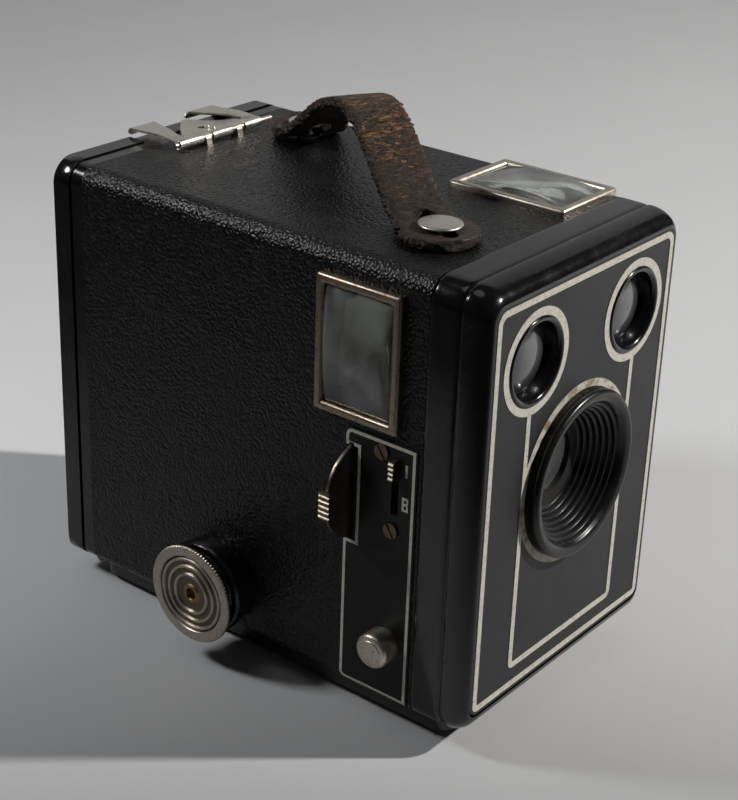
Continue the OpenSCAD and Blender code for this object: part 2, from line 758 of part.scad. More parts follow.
// Drum on the side that the winding shaft turns in.
module winder_cup() {
  color([0.06, 0.06, 0.06]) translate([-cover_x, spool_y, take_z]) rotate([0, -90, 0]) difference() {
    union() {
      rotate_extrude($fn = 96) polygon([
        [shaft_r + gap, 0], [11.2, 0], [11.4, 1.4], [11.8, 3.6], [12, 5.2],
        [11.7, 6.3], [10.8, 6.9], [shaft_r + gap, 6.9]]);
      translate([0, 0, -cover_x + in_x - 1]) cylinder(h = cover_x - in_x + 1.1, r = shaft_r + 1.15);
    }
    translate([0, 0, -5]) cylinder(h = 20, r = shaft_r + gap);
  }
}

module knob_washer() {
  x0 = knob_face_x + knob_t + 0.3;
  color([0.5, 0.48, 0.45]) difference() {
    rod_x(x0, x0 + 0.8, spool_y, take_z, 4.4);
    rod_x(x0 - 1, x0 + 2, spool_y, take_z, shaft_r + gap);
  }
}

// Knurled disc with raised rings.
module winding_knob() {
  teeth = 60;
  color([0.62, 0.6, 0.55]) translate([knob_face_x, spool_y, take_z]) rotate([0, 90, 0]) difference() {
    rotate_extrude($fn = 120) polygon([
      [0, 1.8], [1.4, 1.8], [1.4, 0.6], [2.7, 0.5], [3.1, 0.7],
      [4.8, 0.7], [5.1, 0.2], [5.4, 0.7], [6.9, 0.7], [7.2, 0.2], [7.5, 0.7], [9, 0.7], [9.3, 0.2], [9.6, 0.7],
      [9.9, 0.1], [knob_r - 0.4, 0], [knob_r, 0.3], [knob_r, knob_rim - 0.3], [knob_r - 0.3, knob_rim],
      [4.4, knob_rim], [4.4, knob_t], [0, knob_t]]);
    for (i = [0 : teeth - 1]) rotate([0, 0, 360 * i / teeth]) translate([knob_r + 0.1, 0, 0.5])
      rotate([0, 0, 45]) translate([-0.25, -0.25, 0]) cube([0.5, 0.5, knob_t]);
  }
}

module winding_shaft() {
  x0 = knob_face_x + knob_t;
  color([0.6, 0.58, 0.55]) union() {
    rod_x(x0, -spool_half - 1.1, spool_y, take_z, shaft_r);
    // flat key that drives the spool
    block([-spool_half - 1.2, spool_y - 1.8, take_z - 0.5], [-spool_half + 3.6, spool_y + 1.8, take_z + 0.5]);
  }
}

// ---------- film path ----------

// Spool with a slot for the key at each end.
module spool(z) {
  color([0.3, 0.12, 0.1]) difference() {
    union() {
      rod_x(-spool_half, spool_half, spool_y, z, core_r);
      for (x = [-spool_half, spool_half - 0.8]) rod_x(x, x + 0.8, spool_y, z, flange_r);
    }
    for (s = [-1, 1]) {
      block([s * spool_half - 4.4, spool_y - 2.3, z - 0.8], [s * spool_half + 4.4, spool_y + 2.3, z + 0.8]);
      rod_x(s * spool_half - 4.4, s * spool_half + 4.4, spool_y, z, 1.55);
    }
    block([-22, spool_y - 0.5, z - 6], [22, spool_y + 0.5, z + 6]);
  }
}

module take_up_spool() {
  spool(take_z);
}

module supply_spool() {
  spool(supply_z);
}

// The idle ends run on plain pins held in the carrier's side plates.
module spool_pins() {
  color([0.6, 0.58, 0.5]) {
    for (s = [-1, 1]) spool_pin(s, supply_z);
    spool_pin(1, take_z);
  }
}

module spool_pin(s, z) {
  x0 = s > 0 ? spool_half - 3.6 : -in_x + 0.6;
  x1 = s > 0 ? in_x - 0.6 : -spool_half + 3.6;
  rod_x(x0, x1, spool_y, z, 1.5);
  xh = s > 0 ? carrier_x + carrier_t : -carrier_x - carrier_t - 0.8;
  rod_x(xh, xh + 0.8, spool_y, z, 3);
}

module carrier_sides() {
  color([0.12, 0.12, 0.12]) for (s = [-1, 1]) difference() {
    x0 = s > 0 ? carrier_x : -carrier_x - carrier_t;
    block([x0, -14, in_low + 0.6], [x0 + carrier_t, gate_y + 3.4, in_top - 0.6]);
    for (z = [take_z, supply_z]) rod_x(x0 - 1, x0 + 2, spool_y, z, s < 0 && z == take_z ? shaft_r + 0.6 : 1.5);
    for (z = [z_mid - roller_dz, z_mid + roller_dz]) rod_x(x0 - 1, x0 + 2, roller_y, z, 1 + gap);
    // lightening cut round the cone
    translate([x0 - 1, 0, z_mid]) rotate([90, 0, 90]) linear_extrude(3)
      polygon([[-10, -22], [34, -22], [34, 22], [-10, 22]]);
  }
}

// Light-tight cone from the lens to the film gate.
module cone_solid(grow, y0, y1) {
  w0 = 22;
  h0 = 30;
  hull() {
    translate([-w0 / 2 - grow, y0, z_mid - h0 / 2 - grow]) cube([w0 + 2 * grow, 0.01, h0 + 2 * grow]);
    translate([-gate_w / 2 - grow, y1 - 0.01, z_mid - gate_h / 2 - grow])
      cube([gate_w + 2 * grow, 0.01, gate_h + 2 * grow]);
  }
}

module carrier_cone() {
  y0 = -20;
  color([0.08, 0.08, 0.08]) difference() {
    cone_solid(0.8, y0, gate_y);
    cone_solid(0, y0 - 0.02, gate_y + 0.02);
  }
}

module film_gate() {
  color([0.1, 0.1, 0.1]) difference() {
    block([-carrier_x, gate_y, z_mid - roller_dz + roller_r + 0.4],
          [carrier_x, gate_y + 0.8, z_mid + roller_dz - roller_r - 0.4]);
    block([-gate_w / 2, gate_y - 1, z_mid - gate_h / 2], [gate_w / 2, gate_y + 2, z_mid + gate_h / 2]);
  }
}

module film_roller(z) {
  color([0.65, 0.65, 0.62]) union() {
    rod_x(-carrier_x + fine, carrier_x - fine, roller_y, z, roller_r);
    rod_x(-carrier_x - carrier_t - 0.3, carrier_x + carrier_t + 0.3, roller_y, z, 1);
  }
}

module film_roller_upper() {
  film_roller(z_mid + roller_dz);
}

module film_roller_lower() {
  film_roller(z_mid - roller_dz);
}

// ---------- underside and back ----------

// Pressed pan under the body, open upwards, with four rounded feet.
module base_plate() {
  floor_z = 2;
  wall = 1;
  color([0.03, 0.03, 0.03]) {
    difference() {
      union() {
        translate([0, 0, floor_z]) linear_extrude(z_low - floor_z)
          rounded_rect(-35.5, 35.5, y_front + 7, 56.6, 5, 5);
        translate([0, 0, z_low - 0.5]) linear_extrude(cover_low - z_low + 0.5)
          rounded_rect(-34.5, 34.5, y_seam + 0.4, 55.6, 3, 3);
      }
      translate([0, 0, floor_z + wall]) linear_extrude(z_low)
        rounded_rect(-34.5 + wall, 34.5 - wall, y_seam + 0.4 + wall, 55.6 - wall, 2, 2);
    }
    for (x = [-29, 29], y = [y_front + 14, 47]) translate([x, y, 0]) {
      translate([0, 0, 0.8]) cylinder(h = 1.3, r = 4);
      cylinder(h = 0.8, r1 = 3.2, r2 = 4);
    }
  }
}

// Body's hinge leaf: knuckles along the rear edge of the underside.
module knuckle(x0, x1) {
  difference() {
    rod_x(x0, x1, hinge_y, hinge_z, hinge_r);
    rod_x(x0 - 1, x1 + 1, hinge_y, hinge_z, hinge_pin_r + gap);
  }
}

module door_hinge() {
  color([0.05, 0.05, 0.05]) for (s = [-1, 1]) difference() {
    union() {
      rod_x(s * 20 - 6, s * 20 + 6, hinge_y, hinge_z, hinge_r);
      block([s * 20 - 6, 57, hinge_z - 0.4], [s * 20 + 6, hinge_y, hinge_z + 0.4]);
    }
    rod_x(s * 20 - 7, s * 20 + 7, hinge_y, hinge_z, hinge_pin_r);
  }
}

module hinge_pin() {
  color([0.55, 0.54, 0.5]) rod_x(-33, 33, hinge_y, hinge_z, hinge_pin_r);
}

// Dished lid with rounded rear edges; its knuckles share the pin.
module back_door() {
  r = 1.6;
  color([0.03, 0.03, 0.03]) union() {
    difference() {
      union() {
        rounded_bar_y(-half_w, half_w, z_low, z_high, y_door, y_back - r, corner_r, low_r + 1);
        rounded_bar_y(-half_w + r / 3, half_w - r / 3, z_low + r / 3, z_high - r / 3, y_door, y_back - r / 2, corner_r, low_r + 1);
        rounded_bar_y(-half_w + r, half_w - r, z_low + r, z_high - r, y_door, y_back, corner_r - 1, low_r);
      }
      rounded_bar_y(-half_w + 1.2, half_w - 1.2, z_low + 1.2, z_high - 1.2, y_door - 1, y_back - 1.8, corner_r - 1, low_r);
      rounded_bar_y(-half_w + 4, half_w - 4, z_low + 4, z_high - 4, y_back - 0.5, y_back + 1, 3);
      rod_y(0, y_door, y_back + 1, red_z, 4.6);
      // shallow notches under the latch's hooks
      for (x = [-13.2, 6.8]) block([x, y_door - 1, z_high - 1.1], [x + 10.8, y_back + 1, z_high + 1]);
    }
    for (x = [[-13.6, 13.6], [-33, -26.4], [26.4, 33]]) difference() {
      union() {
        rod_x(x[0], x[1], hinge_y, hinge_z, hinge_r);
        block([x[0], hinge_y + 0.3, hinge_z], [x[1], hinge_y + 1.3, z_low + 1]);
      }
      rod_x(x[0] - 1, x[1] + 1, hinge_y, hinge_z, hinge_pin_r + gap);
    }
  }
}

module door_cover() {
  color([0.05, 0.05, 0.05]) difference() {
    rounded_bar_y(-half_w + 4, half_w - 4, z_low + 4, z_high - 4, y_back - 0.5, y_back, 3);
    rod_y(0, y_back - 1, y_back + 1, red_z, 7);
  }
}

module red_window_ring() {
  color([0.5, 0.48, 0.45]) ring_y(0, red_z, y_back - 0.5, y_back + 0.3, 6.9, 4.6);
}

module red_window() {
  color([0.5, 0.03, 0.02]) rod_y(0, y_back - 1.8, y_back - 0.4, red_z, 4.6);
}

module pressure_plate() {
  color([0.2, 0.2, 0.2]) difference() {
    rounded_bar_y(-30, 30, z_mid - 40, z_mid + 40, gate_y + 2.4, gate_y + 3.2, 4);
    rod_y(0, gate_y, gate_y + 5, red_z, 6);
  }
}

// Bowed leaf between the door and the pressure plate.
module pressure_spring() {
  y_plate = gate_y + 3.2;
  y_lid = y_back - 1.8;
  bow = [for (i = [-6 : 6]) [i * 4, y_plate + (y_lid - y_plate - 0.5) * (i * i) / 36]];
  color([0.55, 0.55, 0.5]) translate([-5, 0, z_mid + 12]) rotate([90, 0, 90]) linear_extrude(10) polygon(concat(
    [for (p = bow) [p[1], p[0]]],
    [for (i = [len(bow) - 1 : -1 : 0]) [bow[i][1] + 0.5, bow[i][0]]]));
}

// ---------- latch and strap ----------

// Bent wire that the latch turns on, and the eyes that hold it.
module latch_bracket() {
  color([0.62, 0.6, 0.56]) union() {
    rod_x(-13, 20.6, latch_y, latch_z, wire_r);
    for (x = [-3.6, 7.8]) block([x, latch_y - 1.4, cover_top], [x + 1.8, latch_y + 1.4, latch_z + 0.5]);
  }
}

// Spring plate: two arms with hooks over the door's rim, and a thumb tongue between them.
module latch_plate() {
  z0 = latch_z + wire_r + gap;
  z1 = z0 + latch_t;
  y_lip = y_back + 0.5;
  color([0.64, 0.62, 0.58]) difference() {
    union() {
      translate([0, 0, z0]) linear_extrude(latch_t) polygon([
        [-13.2, latch_y], [-12.4, y_back - 0.5], [-3.2, y_back - 0.5], [-9.2, 51.4], [-8.7, 51],
        [-1.6, 58.6], [1.2, 60.8], [3.2, 60.8], [6, 58.6], [13.1, 51], [13.6, 51.4],
        [7.6, y_back - 0.5], [16.8, y_back - 0.5], [17.6, latch_y]]);
      // hooks
      for (x = [-12.4, 7.6]) block([x, y_back - 1, z_high - 0.5], [x + 9.2, y_lip, z1]);
      // knuckles round the wire
      for (x = [[-12.6, -4.6], [-0.8, 6.2], [11, 17]]) rod_x(x[0], x[1], latch_y, latch_z, wire_r + latch_t);
    }
    rod_x(-20, 30, latch_y, latch_z, wire_r + gap);
    block([-13, y_back - 4, z_high - 2], [17.4, y_back - 0.2, z0]);
    translate([1, 53.5, z0 - 1]) cylinder(h = 4, r = 1.1);
  }
}

module strap_studs() {
  color([0.66, 0.64, 0.6]) for (p = [stud_a, stud_b]) translate([p[0], p[1], cover_top]) rotate_extrude()
    polygon([[0, 0], [3, 0], [3, 0.5], [1.7, 0.6], [1.7, 3.4], [4.6, 3.4], [5.1, 3.8], [4.6, 4.5], [3, 4.9], [0, 5]]);
}

// height of the strap's underside above the body, at distance s from the front stud
function strap_h(s) = s < 2 ? 0.3
  : s < strap_peak ? 0.3 + strap_rise * (1 - cos(180 * (s - 2) / (strap_peak - 2))) / 2
  : 0.3 + strap_rise * (1 + cos(180 * min(1, (s - strap_peak) / (strap_len - 2 - strap_peak)))) / 2;

module leather_strap() {
  n = 30;
  s0 = -strap_tip;
  s1 = strap_len + strap_tip;
  at = [for (i = [0 : n]) s0 + (s1 - s0) * i / n];
  color([0.25, 0.17, 0.11]) translate([stud_a[0], stud_a[1], cover_top]) rotate([0, 0, strap_turn]) difference() {
    translate([0, strap_w / 2, 0]) rotate([90, 0, 0]) linear_extrude(strap_w) polygon(concat(
      [for (s = at) [s, strap_h(s)]],
      [for (i = [n : -1 : 0]) [at[i], strap_h(at[i]) + strap_t]]));
    // slots over the studs
    for (s = [0, strap_len]) {
      translate([s, 0, -1]) cylinder(h = 5, r = 3.2);
      translate([s - 6, -2, -1]) cube([12, 4, 9]);
    }
  }
}

// ---------- one line per piece ----------

body_shell();
leather_cover();
front_frame();
faceplate();
faceplate_trim();
lens_hood();
finder_eyelets();
finder_lenses();
front_board();
meniscus_lens();
lens_cell();
side_finder_box();
side_finder_mirror();
side_finder_glass();
side_finder_frame();
top_finder_box();
top_finder_mirror();
top_finder_glass();
top_finder_frame();
control_plate();
control_trim();
control_screws();
shutter_plate();
shutter_posts();
shutter_sector();
sector_spring();
release_lever();
release_button();
release_bracket();
release_spring();
time_slider();
closeup_bracket();
closeup_lever();
closeup_lens();
winder_cup();
knob_washer();
winding_knob();
winding_shaft();
take_up_spool();
supply_spool();
spool_pins();
carrier_cone();
carrier_sides();
film_gate();
film_roller_upper();
film_roller_lower();
base_plate();
door_hinge();
hinge_pin();
back_door();
door_cover();
red_window();
red_window_ring();
pressure_plate();
pressure_spring();
latch_bracket();
latch_plate();
strap_studs();
leather_strap();
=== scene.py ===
"""Looks of a roll-film box camera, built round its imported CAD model.

Lengths are in millimetres up to the moment a mesh is made, in the CAD's own frame:
+Z is up, the lens looks along -Y, and the controls are on the -X side.
"""

import math

import bmesh
import bpy
import numpy as np
from mathutils import Matrix, Vector, noise


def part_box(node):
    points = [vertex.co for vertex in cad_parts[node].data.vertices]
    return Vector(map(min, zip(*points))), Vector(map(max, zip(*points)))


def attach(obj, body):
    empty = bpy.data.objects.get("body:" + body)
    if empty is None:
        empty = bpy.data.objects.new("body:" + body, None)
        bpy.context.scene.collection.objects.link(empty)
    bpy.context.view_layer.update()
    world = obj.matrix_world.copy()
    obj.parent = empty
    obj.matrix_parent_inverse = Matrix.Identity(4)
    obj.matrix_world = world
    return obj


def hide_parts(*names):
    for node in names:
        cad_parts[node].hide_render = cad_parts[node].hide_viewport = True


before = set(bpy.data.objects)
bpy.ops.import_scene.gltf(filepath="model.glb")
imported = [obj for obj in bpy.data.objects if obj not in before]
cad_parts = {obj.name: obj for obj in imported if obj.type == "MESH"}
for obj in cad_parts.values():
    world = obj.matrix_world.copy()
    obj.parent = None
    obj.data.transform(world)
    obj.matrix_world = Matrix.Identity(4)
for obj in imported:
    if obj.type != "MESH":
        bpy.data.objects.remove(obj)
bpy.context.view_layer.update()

MM = 0.001


# ---------- places, read from the frame ----------

def span(node):
    """Low and high corner of a CAD node, in millimetres."""
    low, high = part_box(node)
    return np.array(low) / MM, np.array(high) / MM


FRAME_HIGH = span("front_frame")[1]
PLATE_LOW, PLATE_HIGH = span("faceplate")
HOOD_LOW, HOOD_HIGH = span("lens_hood")
LENS_LOW, LENS_HIGH = span("finder_lenses")
COVER_HIGH = span("leather_cover")[1]
SHELL_LOW, SHELL_HIGH = span("body_shell")
BOARD_LOW, BOARD_HIGH = span("front_board")
KNOB_LOW, KNOB_HIGH = span("winding_knob")
CUP_LOW, CUP_HIGH = span("winder_cup")
BUTTON_LOW, BUTTON_HIGH = span("release_button")
STUDS_LOW, STUDS_HIGH = span("strap_studs")
LATCH_HIGH = span("latch_plate")[1]
WIRE_LOW, WIRE_HIGH = span("latch_bracket")

HALF_W = FRAME_HIGH[0]
Y_FRONT = PLATE_LOW[1]
Y_SEAM = FRAME_HIGH[1]
Y_SHELL = SHELL_LOW[1]
LENS_Z = (HOOD_LOW[2] + HOOD_HIGH[2]) / 2
HOOD_R = (HOOD_HIGH[2] - HOOD_LOW[2]) / 2 - 1.5
EYE_Z = (LENS_LOW[2] + LENS_HIGH[2]) / 2
EYE_LENS_R = (LENS_HIGH[2] - LENS_LOW[2]) / 2
EYE_X = LENS_HIGH[0] - EYE_LENS_R
TOP_Z = COVER_HIGH[2]
SIDE_X = COVER_HIGH[0]


# ---------- meshes ----------

def mesh_of(name, points, faces):
    """A mesh from points in millimetres."""
    mesh = bpy.data.meshes.new(name)
    mesh.from_pydata([tuple(c * MM for c in p) for p in points], [], faces)
    return mesh


def placed(name, data):
    """A new object in the scene that shows the data."""
    piece = bpy.data.objects.new(name, data)
    bpy.context.scene.collection.objects.link(piece)
    return piece


def make(name, points, faces, look, body, sharp):
    """A mesh object from points in millimetres, which rides on a CAD body."""
    mesh = mesh_of(name, points, faces)
    work = bmesh.new()
    work.from_mesh(mesh)
    bmesh.ops.recalc_face_normals(work, faces=work.faces)
    work.to_mesh(mesh)
    work.free()
    mesh.shade_smooth()
    mesh.set_sharp_from_angle(angle=math.radians(sharp))
    mesh.materials.append(look)
    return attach(placed(name, mesh), body)


def stand_for(piece, node):
    """The piece is shown in place of a CAD node, which is hidden."""
    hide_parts(node)
    return piece


def show(name, solid, look, node, sharp, body="camera"):
    """Makes a piece from (points, faces) and shows it in place of a CAD node."""
    return stand_for(make(name, *solid, LOOKS[look], body, sharp), node)


def curve(knots, steps=4):
    """A smooth curve through knots, ends included (Catmull-Rom)."""
    knots = [np.array(k, float) for k in knots]
    padded = [2 * knots[0] - knots[1]] + knots + [2 * knots[-1] - knots[-2]]
    points = []
    for a, b, c, d in zip(padded, padded[1:], padded[2:], padded[3:]):
        for i in range(steps):
            t = i / steps
            points.append(0.5 * (2 * b + (c - a) * t + (2 * a - 5 * b + 4 * c - d) * t * t
                                 + (3 * b - a - 3 * c + d) * t ** 3))
    return points + [knots[-1]]


def bridge(rows, width, closed_rows):
    """Quads between rows of points, each row a closed loop of the given width."""
    faces = []
    for i in range(rows if closed_rows else rows - 1):
        k = (i + 1) % rows
        for j in range(width):
            m = (j + 1) % width
            faces.append((i * width + j, k * width + j, k * width + m, i * width + m))
    return faces


def sheet_faces(across, along):
    """Quads of a sheet of points, across by along quads large, row after row."""
    wide = across + 1
    return [(j * wide + i, j * wide + i + 1, (j + 1) * wide + i + 1, (j + 1) * wide + i)
            for j in range(along) for i in range(across)]


def middle_line(x, low, high):
    """The point at x on the line through the middle of a box, parallel to X."""
    return x, (low[1] + high[1]) / 2, (low[2] + high[2]) / 2


def lathe(profile, centre, axis, segments=96, swell=None):
    """Turns (radius, height) pairs about an axis; ends that touch it close to a point.

    A profile that doesn't touch the axis is a closed loop. swell(radius, height, angle)
    may give a changed radius.
    """
    axis = Vector(axis).normalized()
    side = axis.orthogonal().normalized()
    other = axis.cross(side)
    centre = Vector(centre)
    points, rows, poles = [], [], []
    for radius, height in profile:
        if radius < 1e-6:
            poles.append((len(rows), centre + axis * height))
            continue
        rows.append(None)
        for i in range(segments):
            angle = 2 * math.pi * i / segments
            r = swell(radius, height, angle) if swell else radius
            across = side * (r * math.cos(angle))
            points.append(centre + axis * height + across + other * (r * math.sin(angle)))
    faces = bridge(len(rows), segments, not poles)
    for row, place in poles:
        tip = len(points)
        points.append(place)
        start = 0 if row == 0 else (len(rows) - 1) * segments
        faces += [(start + i, start + (i + 1) % segments, tip) for i in range(segments)]
    return points, faces


def prism(outline, low, high):
    """Points and faces of an upright prism over a flat outline."""
    count = len(outline)
    points = [(x, y, z) for z in (low, high) for x, y in outline]
    faces = [tuple(range(count)), tuple(range(count, 2 * count))]
    faces += [(i, (i + 1) % count, count + (i + 1) % count, count + i) for i in range(count)]
    return points, faces


def joined(parts):
    """One list of points and faces from several (points, faces) pairs."""
    points, faces = [], []
    for more, rings in parts:
        faces += [tuple(i + len(points) for i in ring) for ring in rings]
        points += more
    return points, faces


def outline(half_x, z_low, z_high, r_low, r_high, steps=8):
    """Points round a rounded rectangle that is the same on both sides of x = 0."""
    corners = [(half_x - r_high, z_high - r_high, r_high), (r_high - half_x, z_high - r_high, r_high),
               (r_low - half_x, z_low + r_low, r_low), (half_x - r_low, z_low + r_low, r_low)]
    points = []
    for quarter, (x, z, r) in enumerate(corners):
        for i in range(steps + 1):
            angle = math.pi / 2 * (quarter + i / steps)
            points.append((x + r * math.cos(angle), z + r * math.sin(angle)))
    return points


def lump(place, size, seed=0.0):
    """Smooth noise from -1 to 1 whose bumps are about size millimetres wide."""
    return noise.noise(Vector(place) / size + Vector((seed, seed, seed)))


def bevelled(piece, width, angle):
    """Adds a modifier that rounds edges which turn by more than the angle, in degrees."""
    bevel = piece.modifiers.new("soft edges", "BEVEL")
    bevel.width = width * MM
    bevel.segments = 2
    bevel.limit_method = "ANGLE"
    bevel.angle_limit = math.radians(angle)
    return bevel


def soften(node, width):
    """Rounds a CAD node's sharp edges with modifiers; its own mesh stays as it is."""
    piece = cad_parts[node]
    piece.modifiers.new("weld", "WELD").merge_threshold = 2e-6
    bevelled(piece, width, 35).harden_normals = True


# ---------- where the viewer stands ----------

TARGET = Vector((-0.02867, -0.02683, 0.07863))
VIEW_AZIMUTH = math.radians(-52.35)
VIEW_RISE = math.radians(24.9)
VIEW_ROLL = math.radians(2.14)
VIEW_DISTANCE = 0.4038
VIEW_LENS = 80.39
VIEW_SHIFT = (-0.0031, -0.0138)
# the paper's colour is painted dark, as painted shade, between these distances, in metres, towards the
# viewer and to the left
NEAR_PAINTED_DARK = (-0.02, 0.24)
LEFT_PAINTED_DARK = (0.105, 0.26)
LEFT_WAY = (-0.77, 0.64)


def from_side(azimuth, rise):
    """Unit vector from the object towards a viewer at that azimuth and elevation."""
    flat = math.cos(rise)
    return Vector((math.sin(azimuth) * flat, -math.cos(azimuth) * flat, math.sin(rise)))


# ---------- materials ----------

class Look:
    """A material being built: its nodes and the shader at their end."""

    def __init__(self, name, **sockets):
        self.material = bpy.data.materials.new(name)
        self.material.use_nodes = True
        self.nodes = self.material.node_tree.nodes
        self.links = self.material.node_tree.links
        self.shader = self.nodes["Principled BSDF"]
        self.place = self.nodes.new("ShaderNodeTexCoord").outputs["Object"]
        self.relief = None
        for socket, value in sockets.items():
            self.give(socket, value)

    def give(self, socket, value):
        """Sets or links one of the shader's sockets; Base_Color means Base Color."""
        self.join(value, self.shader.inputs[socket.replace("_", " ")])

    def join(self, value, socket):
        if isinstance(value, bpy.types.NodeSocket):
            self.links.new(value, socket)
        elif hasattr(value, "__len__") and len(value) == 3 and socket.type == "RGBA":
            socket.default_value = (*value, 1)
        else:
            socket.default_value = value

    def node(self, kind, inputs, **settings):
        """Outputs of a new node whose inputs are set or linked, after its settings."""
        made = self.nodes.new("ShaderNode" + kind)
        for name, value in settings.items():
            setattr(made, name, value)
        for socket, value in inputs.items():
            self.join(value, made.inputs[socket])
        return made.outputs

    def stretched(self, scale, turn=0.0):
        """The object's coordinates turned about Z and then stretched."""
        turned = self.node("Mapping", {"Rotation": (0, 0, turn), "Vector": self.place}, vector_type="POINT")
        return self.node("VectorMath", {0: turned["Vector"], 1: scale}, operation="MULTIPLY")["Vector"]

    def noise(self, size, detail=3.0, rough=0.55, at=None, colour=False):
        """Soft noise with features about size millimetres wide, from 0 to 1."""
        inputs = {"Scale": 1 / (size * MM), "Detail": detail, "Roughness": rough}
        inputs["Vector"] = at or self.place
        return self.node("TexNoise", inputs)["Color" if colour else "Fac"]

    def warped(self, size, reach, at=None):
        """Coordinates pushed about by noise, by up to reach millimetres."""
        push = self.noise(size, 2, at=at, colour=True)
        inputs = {0: push, 1: (2 * reach * MM,) * 3, 2: at or self.place}
        return self.node("VectorMath", inputs, operation="MULTIPLY_ADD")["Vector"]

    def cells(self, size, at=None, smooth=0.0):
        """Distance from the middle of round cells of about that size, from 0 to about 1."""
        inputs = {"Scale": 1 / (size * MM), "Vector": at or self.place}
        if smooth:
            inputs["Smoothness"] = smooth
        return self.node("TexVoronoi", inputs, feature="SMOOTH_F1" if smooth else "F1")["Distance"]

    def grit(self, size, wobble, reach, low, high):
        """1 in small ragged specks about size millimetres apart, 0 elsewhere."""
        return self.level(self.cells(size, self.warped(wobble, reach)), low, high, 1, 0)

    def level(self, value, low, high, out_low=0.0, out_high=1.0):
        """Maps low..high smoothly to out_low..out_high."""
        inputs = {"Value": value, "From Min": low, "From Max": high, "To Min": out_low, "To Max": out_high}
        return self.node("MapRange", inputs, interpolation_type="SMOOTHSTEP")["Result"]

    def cloud(self, size, detail, rough, *limits):
        """Soft noise of that size, mapped as in level()."""
        return self.level(self.noise(size, detail, rough), *limits)

    def sum(self, operation, a, b=0.0):
        return self.node("Math", {0: a, 1: b}, operation=operation)["Value"]

    def times(self, a, b):
        return self.sum("MULTIPLY", a, b)

    def plus(self, a, b):
        return self.sum("ADD", a, b)

    def most(self, a, b):
        return self.sum("MAXIMUM", a, b)

    def mix(self, share, a, b):
        """Colour a where share is 0, b where it is 1."""
        return self.node("Mix", {"Factor": share, 6: a, 7: b}, data_type="RGBA")[2]

    def along(self, letter):
        """One coordinate of the object's own place, in metres."""
        return self.node("SeparateXYZ", {"Vector": self.place})[letter]

    def near(self, value, middle, reach):
        """1 where the value is at the middle, falling to 0 at reach, in millimetres."""
        off = self.sum("ABSOLUTE", self.plus(value, -middle * MM))
        return self.level(off, 0, reach * MM, 1, 0)

    def ridge(self, value, middle, reach):
        """1 where the value is at the middle, falling to 0 at reach: a thin line from a noise."""
        return self.level(self.sum("ABSOLUTE", self.plus(value, -middle)), 0, reach, 1, 0)

    def from_axis(self, axis, a, b):
        """Distance from a line parallel to X or Y through the given millimetre place, in metres."""
        names = {"X": "YZ", "Y": "XZ"}[axis]
        parts = [self.sum("POWER", self.plus(self.along(n), -c * MM), 2) for n, c in zip(names, (a, b))]
        return self.sum("SQRT", self.plus(*parts))

    def bump(self, height, depth):
        """Adds relief of the given depth in millimetres where height is 1."""
        inputs = {"Distance": depth * MM, "Strength": 1.0, "Height": height}
        if self.relief:
            inputs["Normal"] = self.relief
        self.relief = self.node("Bump", inputs)["Normal"]
        self.links.new(self.relief, self.shader.inputs["Normal"])


def covering():
    """Black pebble-grained cloth with dust in its creases."""
    look = Look("black_covering", Specular_IOR_Level=0.34)
    pebbles = look.sum("POWER", look.cells(0.8, look.warped(0.9, 0.1), smooth=0.2), 2)
    fine = look.noise(0.3, 3, 0.6)
    broad = look.noise(14, 3, 0.6)
    crease = look.level(pebbles, 0.42, 0.8)
    black = look.mix(broad, (0.0035, 0.0033, 0.0032), (0.006, 0.0056, 0.0053))
    dust = look.times(look.cloud(0.5, 5, 0.7, 0.52, 0.75), 0.5)
    look.give("Base_Color", look.mix(look.times(dust, crease), black, (0.04, 0.036, 0.03)))
    rough = look.plus(look.level(broad, 0.3, 0.7, 0.22, 0.3), look.times(crease, 0.2))
    look.give("Roughness", rough)
    look.bump(look.sum("SUBTRACT", 1.0, pebbles), 0.26)
    look.bump(fine, 0.07)
    return look.material


def enamel(name="black_enamel", worn=()):
    """Gloss black enamel with a slight orange peel, dust and worn lines.

    worn lists (letter, place, reach) planes where brown metal shows through.
    """
    look = Look(name, Specular_IOR_Level=0.42, Coat_Weight=0.25, Coat_Roughness=0.1)
    haze = look.noise(9, 4, 0.6)
    specks = look.grit(1.3, 2.5, 0.8, 0.035, 0.075)
    black = look.mix(haze, (0.0032, 0.0033, 0.0037), (0.006, 0.006, 0.006))
    dusty = look.mix(look.times(specks, 0.4), black, (0.09, 0.082, 0.075))
    rough = look.plus(look.level(haze, 0.3, 0.72, 0.13, 0.24), look.times(specks, 0.4))
    if worn:
        ragged = look.cloud(1.1, 5, 0.7, 0.5, 0.64)
        patchy = look.cloud(9, 2, 0.5, 0.46, 0.64)
        line = None
        for letter, place, reach in worn:
            part = look.near(look.along(letter), place, reach)
            line = look.most(line, part) if line else part
        bare = look.times(look.times(line, ragged), patchy)
        dusty = look.mix(bare, dusty, (0.1, 0.052, 0.026))
        rough = look.plus(rough, look.times(bare, 0.35))
    look.give("Base_Color", dusty)
    look.give("Roughness", rough)
    look.bump(look.noise(2.6, 2, 0.5), 0.05)
    look.bump(look.noise(0.5, 2, 0.5), 0.006)
    scuffs = look.level(look.noise(0.45, 3, 0.6, at=look.stretched((0.25, 1, 1))), 0.5, 0.7)
    look.bump(look.times(scuffs, look.level(haze, 0.42, 0.6)), 0.02)
    return look.material


